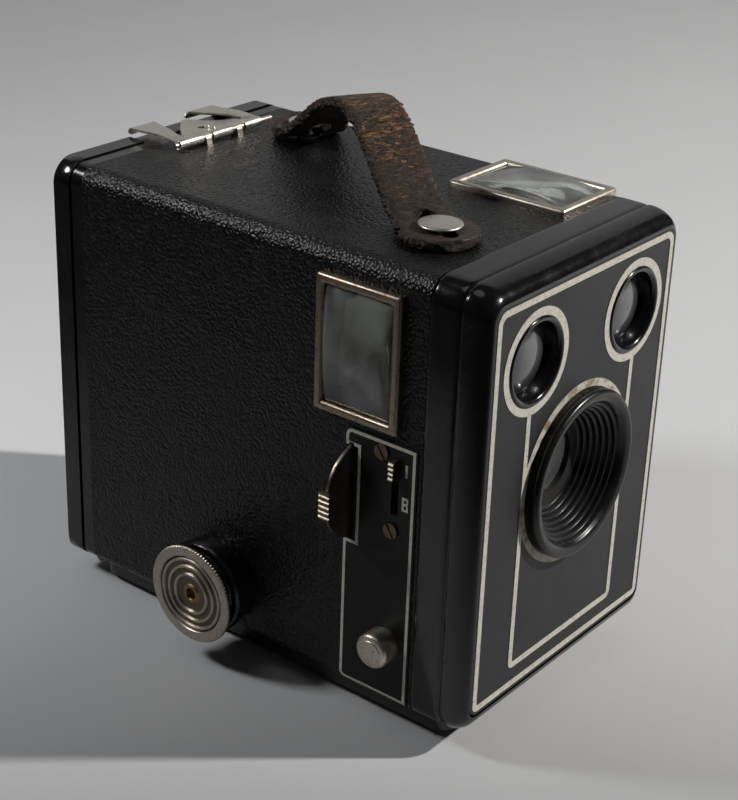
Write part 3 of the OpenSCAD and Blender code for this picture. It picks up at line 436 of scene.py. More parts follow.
def charcoal():
    """Satin charcoal enamel with dust specks and fine rubs."""
    look = Look("charcoal_enamel", Specular_IOR_Level=0.32)
    cloud = look.noise(17, 4, 0.6)
    grain = look.noise(0.25, 3, 0.6)
    specks = look.grit(1.9, 3, 1.2, 0.02, 0.05)
    rubs = look.level(look.noise(0.5, 3, 0.6, at=look.stretched((1, 1, 0.12))), 0.66, 0.8)
    base = look.mix(cloud, (0.018, 0.018, 0.0195), (0.029, 0.029, 0.0305))
    base = look.mix(look.times(rubs, 0.25), base, (0.08, 0.078, 0.075))
    look.give("Base_Color", look.mix(look.times(specks, 0.6), base, (0.25, 0.24, 0.22)))
    look.give("Roughness", look.plus(look.level(cloud, 0.3, 0.7, 0.38, 0.5), look.times(grain, 0.08)))
    look.bump(grain, 0.008)
    look.bump(specks, 0.02)
    return look.material


def plate_black():
    """The control plate's dull black, with small chips and rubs."""
    look = Look("plate_black", Specular_IOR_Level=0.25)
    cloud = look.noise(8, 4, 0.6)
    chips = look.grit(2.6, 2, 1.4, 0.03, 0.06)
    base = look.mix(cloud, (0.005, 0.005, 0.0053), (0.01, 0.0097, 0.0094))
    look.give("Base_Color", look.mix(look.times(chips, 0.8), base, (0.2, 0.17, 0.13)))
    look.give("Roughness", look.level(cloud, 0.3, 0.7, 0.34, 0.5))
    look.bump(look.noise(0.4, 3, 0.6), 0.01)
    return look.material


def cream():
    """Cream line enamel, chipped and grubby at its edges."""
    look = Look("cream_enamel", Specular_IOR_Level=0.35, Roughness=0.5)
    grime = look.cloud(1.4, 5, 0.7, 0.4, 0.75)
    chips = look.cloud(0.75, 4, 0.65, 0.665, 0.7)
    round_hood = look.level(look.from_axis("Y", 0, LENS_Z), 0.0235, 0.0215)
    base = look.mix(grime, (0.6, 0.575, 0.5), (0.42, 0.39, 0.32))
    stain = look.times(look.cloud(4, 3, 0.6, 0.45, 0.65), round_hood)
    base = look.mix(stain, base, (0.27, 0.2, 0.1))
    look.give("Base_Color", look.mix(chips, base, (0.03, 0.028, 0.026)))
    look.bump(look.noise(0.6, 3, 0.6), 0.02)
    return look.material


def nickel(name, tint, dull, stain, groove=None):
    """Old nickel plate: fine scratches, pits and brown tarnish."""
    look = Look(name, Metallic=1.0)
    cloud = look.noise(3.2, 5, 0.65)
    pits = look.grit(0.8, 1.2, 0.6, 0.06, 0.16)
    patches = look.times(look.cloud(1.3, 5, 0.7, 0.52, 0.68), stain)
    scratch = look.level(look.noise(0.16, 2, 0.5, at=look.stretched((1, 0.06, 0.3), 0.5)), 0.6, 0.75)
    dark = tuple(c * k for c, k in zip(tint, (0.42, 0.34, 0.26)))
    base = look.mix(patches, tint, dark)
    base = look.mix(look.times(pits, 0.35), base, (0.09, 0.06, 0.04))
    if groove:
        sunk = look.level(look.along("X"), (groove + 0.12) * MM, (groove + 0.68) * MM)
        base = look.mix(look.times(sunk, 0.85), base, (0.1, 0.075, 0.045))
        middle = look.level(look.from_axis("X", *KNOB_AXIS), 2.9 * MM, 2.7 * MM)
        base = look.mix(middle, base, (0.3, 0.21, 0.1))
    look.give("Base_Color", base)
    rough = look.plus(look.level(cloud, 0.35, 0.7, dull, dull + 0.14), look.times(patches, 0.2))
    look.give("Roughness", look.plus(rough, look.times(scratch, 0.08)))
    look.bump(scratch, 0.002)
    look.bump(pits, -0.008)
    look.bump(cloud, 0.006)
    return look.material


def steel():
    """Bare sheet steel with a faint grain and a few rust freckles."""
    look = Look("plain_steel", Metallic=1.0)
    grain = look.noise(0.25, 3, 0.6, at=look.stretched((0.15, 1, 1)))
    freckles = look.cloud(1.1, 5, 0.7, 0.62, 0.72)
    look.give("Base_Color", look.mix(freckles, (0.5, 0.49, 0.47), (0.2, 0.1, 0.05)))
    look.give("Roughness", look.plus(look.level(grain, 0.3, 0.7, 0.36, 0.51), look.times(freckles, 0.3)))
    look.bump(grain, 0.006)
    return look.material


def toned(name, tone, colours, rough, grain, relief, **sockets):
    """A plain material: two colours and a roughness that follow one noise, over fine relief."""
    look = Look(name, **sockets)
    share = look.noise(*tone)
    look.give("Base_Color", look.mix(share, *colours))
    look.give("Roughness", look.level(share, 0.3, 0.7, *rough))
    look.bump(look.noise(*grain), relief)
    return look.material


def hood_black():
    """Semi-gloss black of the lens hood, brown dust in its foot."""
    look = Look("hood_enamel", Specular_IOR_Level=0.4, Coat_Weight=0.1, Coat_Roughness=0.15)
    haze = look.noise(4, 4, 0.6)
    foot = look.level(look.along("Y"), (Y_FRONT - 1.6) * MM, (Y_FRONT + 0.2) * MM)
    outside = look.level(look.from_axis("Y", 0, LENS_Z), (HOOD_R - 1.4) * MM, (HOOD_R - 1.0) * MM)
    stain = look.times(look.times(foot, outside), look.cloud(0.9, 5, 0.7, 0.45, 0.62))
    base = look.mix(haze, (0.0035, 0.0035, 0.0038), (0.007, 0.0068, 0.0066))
    look.give("Base_Color", look.mix(stain, base, (0.09, 0.055, 0.028)))
    look.give("Roughness", look.plus(look.level(haze, 0.3, 0.7, 0.26, 0.36), look.times(stain, 0.4)))
    look.bump(look.noise(1.4, 2, 0.5), 0.012)
    return look.material


def clear_glass(name, tint, clear=1.0):
    """Old window glass with faint haze and specks of dirt."""
    look = Look(name, IOR=1.5)
    haze = look.noise(6, 4, 0.6)
    specks = look.grit(2.2, 3, 1.5, 0.02, 0.05)
    look.give("Base_Color", look.mix(haze, tint, tuple(c * 0.93 for c in tint)))
    look.give("Transmission_Weight", clear)
    if clear < 1:
        cloudy = look.noise(11, 3, 0.5)
        look.give("Transmission_Weight", look.level(cloudy, 0.35, 0.65, clear, clear - 0.13))
    look.give("Roughness", look.plus(look.level(haze, 0.4, 0.7, 0.02, 0.07), look.times(specks, 0.3)))
    look.bump(look.noise(7, 2, 0.5), 0.02)
    return look.material


def objective_glass_painted_glow():
    """Small convex finder lens, opaque: its grey is a painted glow of the lit mirror behind it, painted
    darker further back, towards its rim.
    """
    look = Look("objective_glass_painted_glow", IOR=1.52, Coat_Weight=1.0, Coat_Roughness=0.04)
    # painted shade: the lens colour goes darker further back, towards its rim
    depth = look.level(look.along("Y"), (Y_FRONT + 1.5) * MM, (Y_FRONT + 3.5) * MM)
    cloud = look.noise(5, 3, 0.6)
    # painted reflection: this grey cloud stands for the lit mirror seen through the lens
    middle = look.mix(cloud, (0.038, 0.038, 0.04), (0.075, 0.075, 0.078))
    look.give("Base_Color", look.mix(depth, middle, (0.03, 0.029, 0.028)))
    look.give("Roughness", look.level(cloud, 0.3, 0.7, 0.25, 0.35))
    look.bump(look.noise(3, 2, 0.5), 0.01)
    return look.material


def mirror():
    look = Look("old_mirror", Metallic=1.0)
    foxing = look.cloud(3, 5, 0.7, 0.5, 0.72)
    look.give("Base_Color", look.mix(foxing, (0.72, 0.72, 0.68), (0.32, 0.27, 0.2)))
    look.give("Roughness", look.level(foxing, 0, 1, 0.05, 0.3))
    look.bump(look.noise(8, 2, 0.5), 0.03)
    return look.material


def spool_paint():
    look = Look("spool_enamel", Specular_IOR_Level=0.5)
    grain = look.noise(0.8, 4, 0.6, at=look.stretched((0.08, 1, 1)))
    look.give("Base_Color", look.mix(grain, (0.16, 0.06, 0.035), (0.3, 0.14, 0.08)))
    look.give("Roughness", look.level(grain, 0.3, 0.7, 0.3, 0.5))
    look.bump(grain, 0.03)
    return look.material


STUD_R = 5.1
STRAP_START = STUDS_LOW[:2] + STUD_R
STRAP_END = STUDS_HIGH[:2] - STUD_R
STRAP_RUN = float(np.linalg.norm(STRAP_END - STRAP_START))
STRAP_WAY = (STRAP_END - STRAP_START) / STRAP_RUN
STRAP_TURN = math.atan2(STRAP_WAY[1], STRAP_WAY[0])


def strap_leather():
    """Dark strap leather whose surface has cracked across to a tan core."""
    look = Look("strap_leather", Specular_IOR_Level=0.3)
    across = look.stretched((1.0, 0.3, 0.8), -STRAP_TURN)
    broken = look.warped(1.0, 0.4, across)
    deep = look.noise(0.7, 5, 0.68, at=broken)
    fibre = look.noise(0.3, 4, 0.65, at=broken)
    wide = look.noise(1.3, 4, 0.62, at=broken)
    lines = look.most(look.ridge(deep, 0.5, 0.03), look.ridge(wide, 0.47, 0.025))
    height = look.level(look.along("Z"), (TOP_Z + 2) * MM, (TOP_Z + 18) * MM)
    worn = look.plus(look.times(height, 0.1), look.times(look.plus(look.noise(6, 3, 0.6), -0.5), 0.35))
    patches = look.level(look.plus(deep, worn), 0.66, 0.72)
    share = look.most(look.times(lines, look.level(worn, -0.06, 0.12, 0.15, 0.95)), patches)
    tan = look.mix(fibre, (0.13, 0.066, 0.032), (0.34, 0.19, 0.1))
    dark = look.mix(fibre, (0.008, 0.0075, 0.007), (0.024, 0.021, 0.019))
    look.give("Base_Color", look.mix(share, dark, tan))
    look.give("Roughness", look.level(share, 0, 1, 0.42, 0.85))
    look.bump(look.sum("SUBTRACT", 1.0, share), 0.14)
    look.bump(fibre, 0.12)
    return look.material


def floor_paper():
    """Pale paper whose colour is painted dark, as painted shade, on the viewer's side and beyond the
    picture's left edge.
    """
    look = Look("paper_with_painted_shade", Specular_IOR_Level=0.2, Roughness=0.85)
    mottle = look.noise(60, 4, 0.6)
    specks = look.grit(9, 10, 5, 0.012, 0.03)
    base = look.mix(mottle, (0.585, 0.585, 0.592), (0.62, 0.62, 0.625))
    base = look.mix(look.times(specks, 0.35), base, (0.35, 0.34, 0.33))
    towards = from_side(VIEW_AZIMUTH, 0)
    near = look.plus(look.times(look.along("X"), towards.x), look.times(look.along("Y"), towards.y))
    left = look.plus(look.times(look.along("X"), LEFT_WAY[0]), look.times(look.along("Y"), LEFT_WAY[1]))
    # painted shade: the paper's colour fades to near black towards the viewer and to the left
    dark = look.most(look.level(near, *NEAR_PAINTED_DARK), look.level(left, *LEFT_PAINTED_DARK))
    look.give("Base_Color", look.mix(dark, base, (0.04, 0.04, 0.04)))
    look.bump(look.noise(1.5, 4, 0.6), 0.04)
    return look.material


RIDGE_Y = Y_FRONT + 6.4
KNOB_AXIS = middle_line(0, KNOB_LOW, KNOB_HIGH)[1:]
LOOKS = {
    "covering": covering(),
    "enamel": enamel(),
    "frame": enamel("frame_enamel", [("Y", RIDGE_Y + 0.1, 0.7), ("Y", Y_SEAM - 0.2, 0.9)]),
    "bead": enamel("bead_enamel", [("Z", TOP_Z - 0.2, 1.2)]),
    "charcoal": charcoal(),
    "plate": plate_black(),
    "cream": cream(),
    "nickel": nickel("worn_nickel", (0.58, 0.53, 0.46), 0.34, 0.6),
    "dark": nickel("dark_nickel", (0.2, 0.17, 0.13), 0.3, 0.7),
    "top_rim": nickel("rim_nickel", (0.62, 0.56, 0.47), 0.3, 0.6),
    "side_rim": nickel("brown_nickel", (0.36, 0.29, 0.22), 0.3, 0.8),
    "knob": nickel("knob_nickel", (0.5, 0.445, 0.37), 0.34, 0.5, KNOB_LOW[0]),
    "bright": nickel("bright_nickel", (0.74, 0.7, 0.63), 0.3, 0.2),
    "steel": steel(),
    "brass": toned("aged_brass", (1.2, 4, 0.6), ((0.5, 0.38, 0.2), (0.2, 0.14, 0.08)), (0.3, 0.5),
                   (0.3, 3, 0.6), 0.008, Metallic=1.0),
    "screw": nickel("screw_brass", (0.2, 0.15, 0.1), 0.42, 0.8),
    "inner": toned("matt_black", (5, 5, 0.65), ((0.012, 0.012, 0.012), (0.028, 0.026, 0.024)), (0.55, 0.75),
                   (0.5, 3, 0.6), 0.02, Specular_IOR_Level=0.3),
    "hood": hood_black(),
    "glass": clear_glass("window_glass", (0.9, 0.93, 0.88), clear=0.97),
    "lens": clear_glass("lens_glass", (0.9, 0.92, 0.9)),
    "objective": objective_glass_painted_glow(),
    "mirror": mirror(),
    "red": toned("red_celluloid", (2.5, 3, 0.6), ((0.3, 0.008, 0.005), (0.16, 0.004, 0.003)),
                 (0.08, 0.2), (3, 2, 0.5), 0.02, Transmission_Weight=0.6, IOR=1.49,
                 Coat_Weight=0.6, Coat_Roughness=0.05),
    "spool": spool_paint(),
    "strap": strap_leather(),
}

CAD_LOOKS = {
    "covering": "leather_cover door_cover",
    "enamel": "base_plate door_hinge back_door",
    "bead": "body_shell",
    "charcoal": "faceplate",
    "plate": "control_plate",
    "cream": "faceplate_trim control_trim",
    "nickel": "red_window_ring",
    "dark": "time_slider closeup_lever",
    "screw": "control_screws",
    "steel": "shutter_plate sector_spring release_lever release_bracket release_spring closeup_bracket "
             "knob_washer winding_shaft spool_pins film_roller_upper film_roller_lower hinge_pin "
             "pressure_spring",
    "brass": "shutter_posts",
    "inner": "front_board lens_cell side_finder_box top_finder_box shutter_sector carrier_cone "
             "carrier_sides film_gate pressure_plate",
    "lens": "meniscus_lens closeup_lens",
    "objective": "finder_lenses",
    "mirror": "side_finder_mirror top_finder_mirror",
    "red": "red_window",
    "spool": "take_up_spool supply_spool",
}


def dress_cad_nodes():
    for look, nodes in CAD_LOOKS.items():
        for node in nodes.split():
            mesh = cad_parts[node].data
            mesh.materials.clear()
            mesh.materials.append(LOOKS[look])


# ---------- front ----------

def front_frame():
    """Pressed frame: rolled front edge, a ridge, a flat band and a folded rear edge."""
    side_roll = HALF_W - PLATE_HIGH[0]
    top_roll = FRAME_HIGH[2] - PLATE_HIGH[2]
    deep = RIDGE_Y - Y_FRONT
    rows = []

    def row(inset, y, roll=1.0, radius=0.0):
        """One outline: inset from full size, or rolled in towards the faceplate."""
        half = PLATE_HIGH[0] + side_roll * roll - inset
        high = PLATE_HIGH[2] + top_roll * roll - inset
        low = 2 * LENS_Z - high
        r_high = radius or 3.4 + 2.6 * roll
        r_low = radius or 3.0 + 1.0 * roll
        rows.append([(x, y, z) for x, z in outline(half, low, high, r_low, r_high)])

    for i in range(13):
        turn = math.pi / 2 * i / 12
        row(0, Y_FRONT + deep * (1 - math.cos(turn)), math.sin(turn))
    band = curve([(0.02, RIDGE_Y + 0.25), (0.3, RIDGE_Y + 0.55), (0.34, RIDGE_Y + 0.9),
                  (0.12, RIDGE_Y + 1.5), (0.04, RIDGE_Y + 3), (0.0, Y_SEAM - 1.4),
                  (0.06, Y_SEAM - 0.6), (0.35, Y_SEAM - 0.1), (0.7, Y_SEAM)], 3)
    for inset, y in band:
        row(inset, y)
    inner = SHELL_HIGH[0] - 0.55
    row(HALF_W - inner, Y_SEAM - 0.05, 1.0, 4.0)
    row(HALF_W - inner, Y_SHELL, 1.0, 4.0)
    lip = PLATE_HIGH[0] - 1.5
    row(HALF_W - lip, Y_SHELL, 1.0, 2.0)
    row(HALF_W - lip, PLATE_HIGH[1], 1.0, 2.0)
    row(HALF_W - PLATE_HIGH[0], PLATE_HIGH[1], 1.0, 3.2)
    solid = [p for line in rows for p in line], bridge(len(rows), len(rows[0]), True)
    return show("frame_pressing", solid, "frame", "front_frame", 50)


def lens_hood():
    """Flared collar with a rolled lip and seven light-trap steps inside."""
    y_lip = HOOD_LOW[1]
    y_end = HOOD_HIGH[1]
    flange_r = (HOOD_HIGH[2] - HOOD_LOW[2]) / 2
    outer = HOOD_R
    foot = Y_FRONT + 0.8
    profile = [(flange_r, foot), (outer - 0.75, foot)]
    profile += curve([(outer - 0.75, Y_FRONT), (outer - 0.6, y_lip + 2.4), (outer - 0.1, y_lip + 1.5),
                      (outer, y_lip + 0.95), (outer - 0.25, y_lip + 0.35), (outer - 0.85, y_lip),
                      (outer - 1.7, y_lip + 0.08), (outer - 2.7, y_lip + 0.5),
                      (outer - 3.2, y_lip + 1.1)], 5)
    steps = 7
    mouth = outer - 3.4
    throat = 11.2
    pitch = (y_end - y_lip - 1.3) / steps
    fall = (mouth - throat) / steps
    for i in range(steps):
        r = mouth - i * fall
        y = y_lip + 1.3 + i * pitch
        profile += [(r, y), (r - 0.12, y + pitch * 0.72)]
        profile += curve([(r - 0.2, y + pitch * 0.86), (r - 0.34, y + pitch * 0.93),
                          (r - 0.5, y + pitch * 0.9), (r - fall, y + pitch)], 2)
    profile += [(throat, y_end), (throat + 2.2, y_end), (outer - 1, foot + 1), (flange_r, foot + 1)]
    solid = lathe(profile, (0, 0, LENS_Z), (0, 1, 0), 160)
    return show("hood_collar", solid, "hood", "lens_hood", 42)


def eyelets():
    """Glossy rolled rings round the two finder objectives."""
    hole = EYE_LENS_R + 2.05
    front = curve([(hole - 0.1, 0.3), (hole - 0.06, -0.12), (hole - 0.4, -0.5), (hole - 0.95, -0.5),
                   (hole - 1.5, -0.1), (hole - 1.8, 0.8), (hole - 1.95, 2.2), (hole - 2.0, 4.0)], 5)
    back = [(hole - 3, 4.6), (hole - 3, 5.4), (hole - 0.2, 5.4), (hole - 0.2, 1.8), (hole + 0.9, 1.8),
            (hole + 0.9, 0.8), (hole - 0.12, 0.8)]
    pair = joined(lathe(front + back, (x, Y_FRONT, EYE_Z), (0, 1, 0), 96) for x in (-EYE_X, EYE_X))
    return show("eyelet_rings", pair, "enamel", "finder_eyelets", 42)


# ---------- finder windows ----------

class Window:
    """A finder window's plane: u across its width, v along its length, n outwards."""

    def __init__(self, node, centre, u, v, n):
        self.node = node
        self.centre, self.u, self.v, self.n = (Vector(a) for a in (centre, u, v, n))
        low, high = span(node + "_frame")
        size = Vector(high - low)
        self.width = abs(size.dot(self.u))
        self.length = abs(size.dot(self.v))

    def at(self, u, v, n):
        return self.centre + self.u * u + self.v * v + self.n * n

    def loop(self, inset, radius, n, steps=5):
        half = self.width / 2 - inset
        end = self.length / 2 - inset
        return [self.at(u, v, n) for u, v in outline(half, -end, end, radius, radius, steps)]


RIM_HIGH = 1.7
RIM_WIDE = 2.3


def windows():
    low, high = span("side_finder_frame")
    middle = (low + high) / 2
    yield Window("side_finder", (-SIDE_X, middle[1], middle[2]), (0, 1, 0), (0, 0, 1), (-1, 0, 0))
    low, high = span("top_finder_frame")
    middle = (low + high) / 2
    yield Window("top_finder", (middle[0], middle[1], TOP_Z), (1, 0, 0), (0, 1, 0), (0, 0, 1))


def window_rim(window):
    """Pressed rim with a flat face, rounded outside and bevelled to the glass."""
    path = curve([(0.0, 0.0), (0.0, 0.9), (0.1, 1.35), (0.5, RIM_HIGH), (1.0, RIM_HIGH + 0.02),
                  (1.6, RIM_HIGH), (1.95, RIM_HIGH - 0.15), (RIM_WIDE - 0.05, 1.1)], 3)
    path += [(RIM_WIDE, 0.4), (RIM_WIDE, -1.0), (1.0, -1.0), (1.0, 0.0)]
    rows = []
    for inset, n in path:
        rows.append(window.loop(inset, max(0.35, 0.9 - inset * 0.25), n))
    solid = [p for row in rows for p in row], bridge(len(rows), len(rows[0]), True)
    look = "side_rim" if window.node == "side_finder" else "top_rim"
    return show(window.node + "_rim", solid, look, window.node + "_frame", 50)


def window_glass(window):
    """Thick glass, arched along its length and bevelled all round."""
    gap = 0.28
    half = window.width / 2 - RIM_WIDE - gap
    end = window.length / 2 - RIM_WIDE - gap
    low, edge, sag, bevel = -1.3, 0.75, 2.1, 1.5
    across, along = 28, 44

    def height(u, v):
        arch = sag * (1 - (v / end) ** 2) * (1 - 0.35 * (u / half) ** 2)
        rim = min(half - abs(u), end - abs(v))
        drop = max(0.0, 1 - rim / bevel)
        return edge + 0.45 + arch - (0.45 + arch * 0.25) * drop ** 1.6

    def stops(extent, count):
        """Places from -extent to extent, closer together near the ends."""
        return [extent * math.sin(math.pi / 2 * (2 * i / count - 1)) for i in range(count + 1)]

    grid = [[(u, v) for u in stops(half, across)] for v in stops(end, along)]
    points = [window.at(u, v, height(u, v)) for row in grid for u, v in row]
    wide = across + 1
    faces = sheet_faces(across, along)
    edge_loop = list(range(wide)) + [j * wide + across for j in range(1, along + 1)]
    edge_loop += [along * wide + i for i in range(across - 1, -1, -1)]
    edge_loop += [j * wide for j in range(along - 1, 0, -1)]
    base = len(points)
    flat = [grid[k // wide][k % wide] for k in edge_loop]
    points += [window.at(u, v, low) for u, v in flat]
    count = len(edge_loop)
    faces += [(edge_loop[k], edge_loop[(k + 1) % count], base + (k + 1) % count, base + k)
              for k in range(count)]
    faces.append(tuple(range(base, base + count)))
    solid = points, faces
    return show(window.node + "_pane", solid, "glass", window.node + "_glass", 30)


# ---------- control side ----------

def release_button():
    """Domed button, its stop flange inside and the plunger behind it."""
    r = 4.3
    flange_r = (BUTTON_HIGH[2] - BUTTON_LOW[2]) / 2
    centre = middle_line(BUTTON_LOW[0], BUTTON_LOW, BUTTON_HIGH)
    flange = BOARD_LOW[0] - BUTTON_LOW[0] - 0.1
    back = flange + 0.45
    plunger_r = 1.6
    end = BUTTON_HIGH[0] - BUTTON_LOW[0]
    dome = curve([(0.8, 0.02), (1.8, 0.04), (2.75, 0.1), (3.0, 0.3), (3.25, 0.28), (3.75, 0.4),
                  (4.1, 0.7), (r - 0.02, 1.15), (r, 1.6)], 4)
    profile = [(0, 0.02)] + dome + [(r, flange), (flange_r, flange), (flange_r, back)]
    profile += [(plunger_r, back), (plunger_r, end), (0, end)]
    solid = lathe(profile, centre, (1, 0, 0), 96)
    return show("button_cap", solid, "nickel", "release_button", 42, "release_button")


def winder_cup():
    """Black drum on the side that the winding shaft turns in, widest near the knob."""
    bore = 2.05
    high = CUP_HIGH[0] - CUP_LOW[0]
    r = (CUP_HIGH[2] - CUP_LOW[2]) / 2
    deep = 6.9
    drum = curve([(r - 0.8, 0.1), (r - 0.7, 1.2), (r - 0.35, 3.4), (r - 0.05, 5.6), (r, 6.5),
                  (r - 0.12, 7.2), (r - 0.5, 7.8), (r - 1.2, 8.0), (r - 2.0, 7.9), (r - 2.6, 7.2),
                  (r - 3.4, deep)], 5)
    profile = [(bore + 1.1, 0), (r - 0.8, 0)] + drum
    profile += [(bore, deep), (bore, deep - high), (bore + 1.1, deep - high)]
    solid = lathe(profile, middle_line(-SIDE_X, CUP_LOW, CUP_HIGH), (-1, 0, 0), 128)
    return show("winder_drum", solid, "enamel", "winder_cup", 42)


def winding_knob():
    """Knob with raised rings on its face and a knurled edge."""
    r = (KNOB_HIGH[2] - KNOB_LOW[2]) / 2
    thick = KNOB_HIGH[0] - KNOB_LOW[0]
    teeth = 92
    rim = 1.3
    face = [(0.0, 1.85), (1.25, 1.85)]
    ridges = [(1.35, 1.6), (1.45, 0.6), (1.75, 0.28), (2.3, 0.3), (2.7, 0.62), (3.2, 0.78), (4.1, 0.78)]
    for ring in (5.1, 7.2, 9.15):
        ridges += [(ring - 0.62, 0.7), (ring - 0.36, 0.3), (ring, 0.12), (ring + 0.36, 0.3)]
        ridges += [(ring + 0.62, 0.7)] + ([(ring + 1.0, 0.78)] if ring < 9 else [])
    face += curve(ridges + [(10.0, 0.3), (10.25, 0.06), (10.7, 0.02), (11.8, 0.0), (12.2, 0.04),
                            (r - 0.28, 0.16), (r, 0.42)], 4)
    edge = [(r, rim * 0.6), (r, rim - 0.3), (r - 0.25, rim), (4.4, rim), (4.3, thick), (0.0, thick)]

    def knurl(radius, height, angle):
        reach = min(1.0, max(0.0, (radius - (r - 0.55)) / 0.5))
        return radius - 0.24 * reach * (0.5 - 0.5 * math.cos(teeth * angle))

    centre = middle_line(KNOB_LOW[0], KNOB_LOW, KNOB_HIGH)
    solid = lathe(face + edge, centre, (1, 0, 0), teeth * 8, knurl)
    return show("knob_face", solid, "knob", "winding_knob", 50, "winding_knob")


# ---------- top ----------

def strap_studs():
    """Two polished studs with thin flat heads."""
    foot = [(0.0, 0.0), (3.0, 0.0), (3.0, 0.45)]
    stem = curve([(1.9, 0.6), (1.65, 1.0), (1.6, 2.8), (1.8, 3.4)], 3)
    head = curve([(4.3, 3.45), (4.95, 3.58), (STUD_R, 3.85), (4.92, 4.1), (4.3, 4.28),
                  (2.8, 4.4), (1.4, 4.46)], 5)
    profile = foot + stem + head + [(0.0, 4.48)]
    pair = joined(lathe(profile, (x, y, TOP_Z), (0, 0, 1), 72) for x, y in (STRAP_START, STRAP_END))
    return show("stud_heads", pair, "bright", "strap_studs", 45)


STRAP_TIP = 8.7
STRAP_THICK = 2.6
STRAP_HALF = 7.0
STRAP_FLARE = 2.1
# underside of the strap above the body, at distances from the front stud
STRAP_ARCH = [(-8.7, 0.35), (-3, 0.3), (3, 0.3), (8, 0.45), (14, 2.1), (20, 6.0), (25, 9.4), (30, 12.6),
              (35, 15.6), (40, 17.5), (45, 17.6), (51, 16.2), (58, 13.6), (65, 9.6), (71, 5.6),
              (76, 2.2), (80.9, 0.35), (85, 0.4), (89.6, 1.5)]
STRAP_CURVE = np.array(curve(STRAP_ARCH, 6)).T


def strap_under(s):
    """Height of the strap's underside above the body at distance s from the front stud."""
    return float(np.interp(s, *STRAP_CURVE))


def strap_plan(s, side):
    """Place on the top at distance s along the strap and side off its middle."""
    return (STRAP_START[0] + STRAP_WAY[0] * s - STRAP_WAY[1] * side,
            STRAP_START[1] + STRAP_WAY[1] * s + STRAP_WAY[0] * side)


def strap_place(s, side, up):
    """Point at distance s along the strap, side off its middle and up from its underside."""
    slope = math.atan(strap_under(s + 0.5) - strap_under(s - 0.5))
    x, y = strap_plan(s - up * math.sin(slope), side)
    return np.array([x, y, TOP_Z + strap_under(s) + up * math.cos(slope)])


def strap_half_width(s):
    """Half the strap's width: wider round the studs, round at the tips."""
    for centre, ahead in ((0.0, -1), (STRAP_RUN, 1)):
        off = (s - centre) * ahead
        if off > 0:
            reach = off / (STRAP_TIP + 0.15)
            return (STRAP_HALF + STRAP_FLARE) * math.sqrt(max(0.0, 1 - reach ** 2))
    near = min(abs(s), abs(s - STRAP_RUN))
    return STRAP_HALF + STRAP_FLARE * math.exp(-(near / 7.5) ** 2)


def strap_section(s):
    """Closed row of points round the strap at s, its edges rounded and slightly frayed."""
    half = strap_half_width(s)
    edge = min(1.0, half * 0.4)
    middle = STRAP_THICK / 2
    flat, bend = 9, 8
    inner = half - edge
    loop = [(-inner + 2 * inner * i / flat, STRAP_THICK) for i in range(flat)]
    for i in range(bend + 1):
        a = math.pi / 2 - math.pi * i / bend
        loop.append((inner + edge * math.cos(a), middle + middle * math.sin(a)))
    loop += [(inner - 2 * inner * i / flat, 0) for i in range(1, flat)]
    for i in range(bend):
        a = -math.pi / 2 - math.pi * i / bend
        loop.append((-inner + edge * math.cos(a), middle + middle * math.sin(a)))
    points = []
    for side, up in loop:
        p = strap_place(s, side, up)
        ragged = abs(side) / max(half, 0.1)
        fray = 0.16 * ragged ** 4 * lump(p, 0.7, 3.0)
        worn = 0.07 * lump(p, 1.1, 8.0) + 0.05 * lump(p, 3.5, 5.0)
        curl = 0.35 * (side / STRAP_HALF) ** 2
        width = side * (1 + fray)
        points.append(strap_place(s, width, up + worn * (1 if up > middle else 0.5) - curl * 0.3))
    return points


def strap_slots():
    """Keyhole cutters over both studs: a round hole with a slot that holds the stem."""
    shape = []
    # middle and radius of each arc, then its first angle, sweep and number of steps
    for middle, r, first, sweep, steps in ((7.7, 3.0, -145, 290, 24), (-5.1, 1.9, 90, 180, 12)):
        for i in range(steps + 1):
            a = math.radians(first + sweep * i / steps)
            shape.append((middle + r * math.cos(a), r * math.sin(a)))
    slots = []
    for centre, towards in ((0.0, 1), (STRAP_RUN, -1)):
        ring = [strap_plan(centre + towards * along, side) for along, side in shape]
        slots.append(prism(ring, TOP_Z - 2, TOP_Z + 9))
    return joined(slots)


def cut(piece, points, faces):
    """Subtracts a closed shape from a piece and keeps the result as its mesh."""
    tool = make("cutter", points, faces, piece.data.materials[0], "camera", 38)
    boolean = piece.modifiers.new("cut", "BOOLEAN")
    boolean.operation = "DIFFERENCE"
    boolean.solver = "EXACT"
    boolean.object = tool
    bpy.context.view_layer.update()
    result = bpy.data.meshes.new_from_object(piece.evaluated_get(bpy.context.evaluated_depsgraph_get()))
    piece.modifiers.clear()
    piece.data = result
    bpy.data.objects.remove(tool)
    result.shade_smooth()
    result.set_sharp_from_angle(angle=math.radians(55))


def leather_strap():
    """One thick strap that arches between the studs, with its ends lying flat."""
    count = 300
    first = -STRAP_TIP
    last = STRAP_RUN + STRAP_TIP
    rows = [strap_section(first + (last - first) * i / count) for i in range(count + 1)]
    wide = len(rows[0])
    faces = bridge(len(rows), wide, False)
    faces += [tuple(range(wide)), tuple(range(count * wide, (count + 1) * wide))]
    piece = make("strap_band", [p for row in rows for p in row], faces, LOOKS["strap"], "camera", 60)
    cut(piece, *strap_slots())
    return stand_for(piece, "leather_strap")


# ---------- latch ----------

WIRE_Y = (WIRE_LOW[1] + WIRE_HIGH[1]) / 2
WIRE_R = 0.7
LATCH_T = 0.55
WIRE_Z = TOP_Z + 1.7


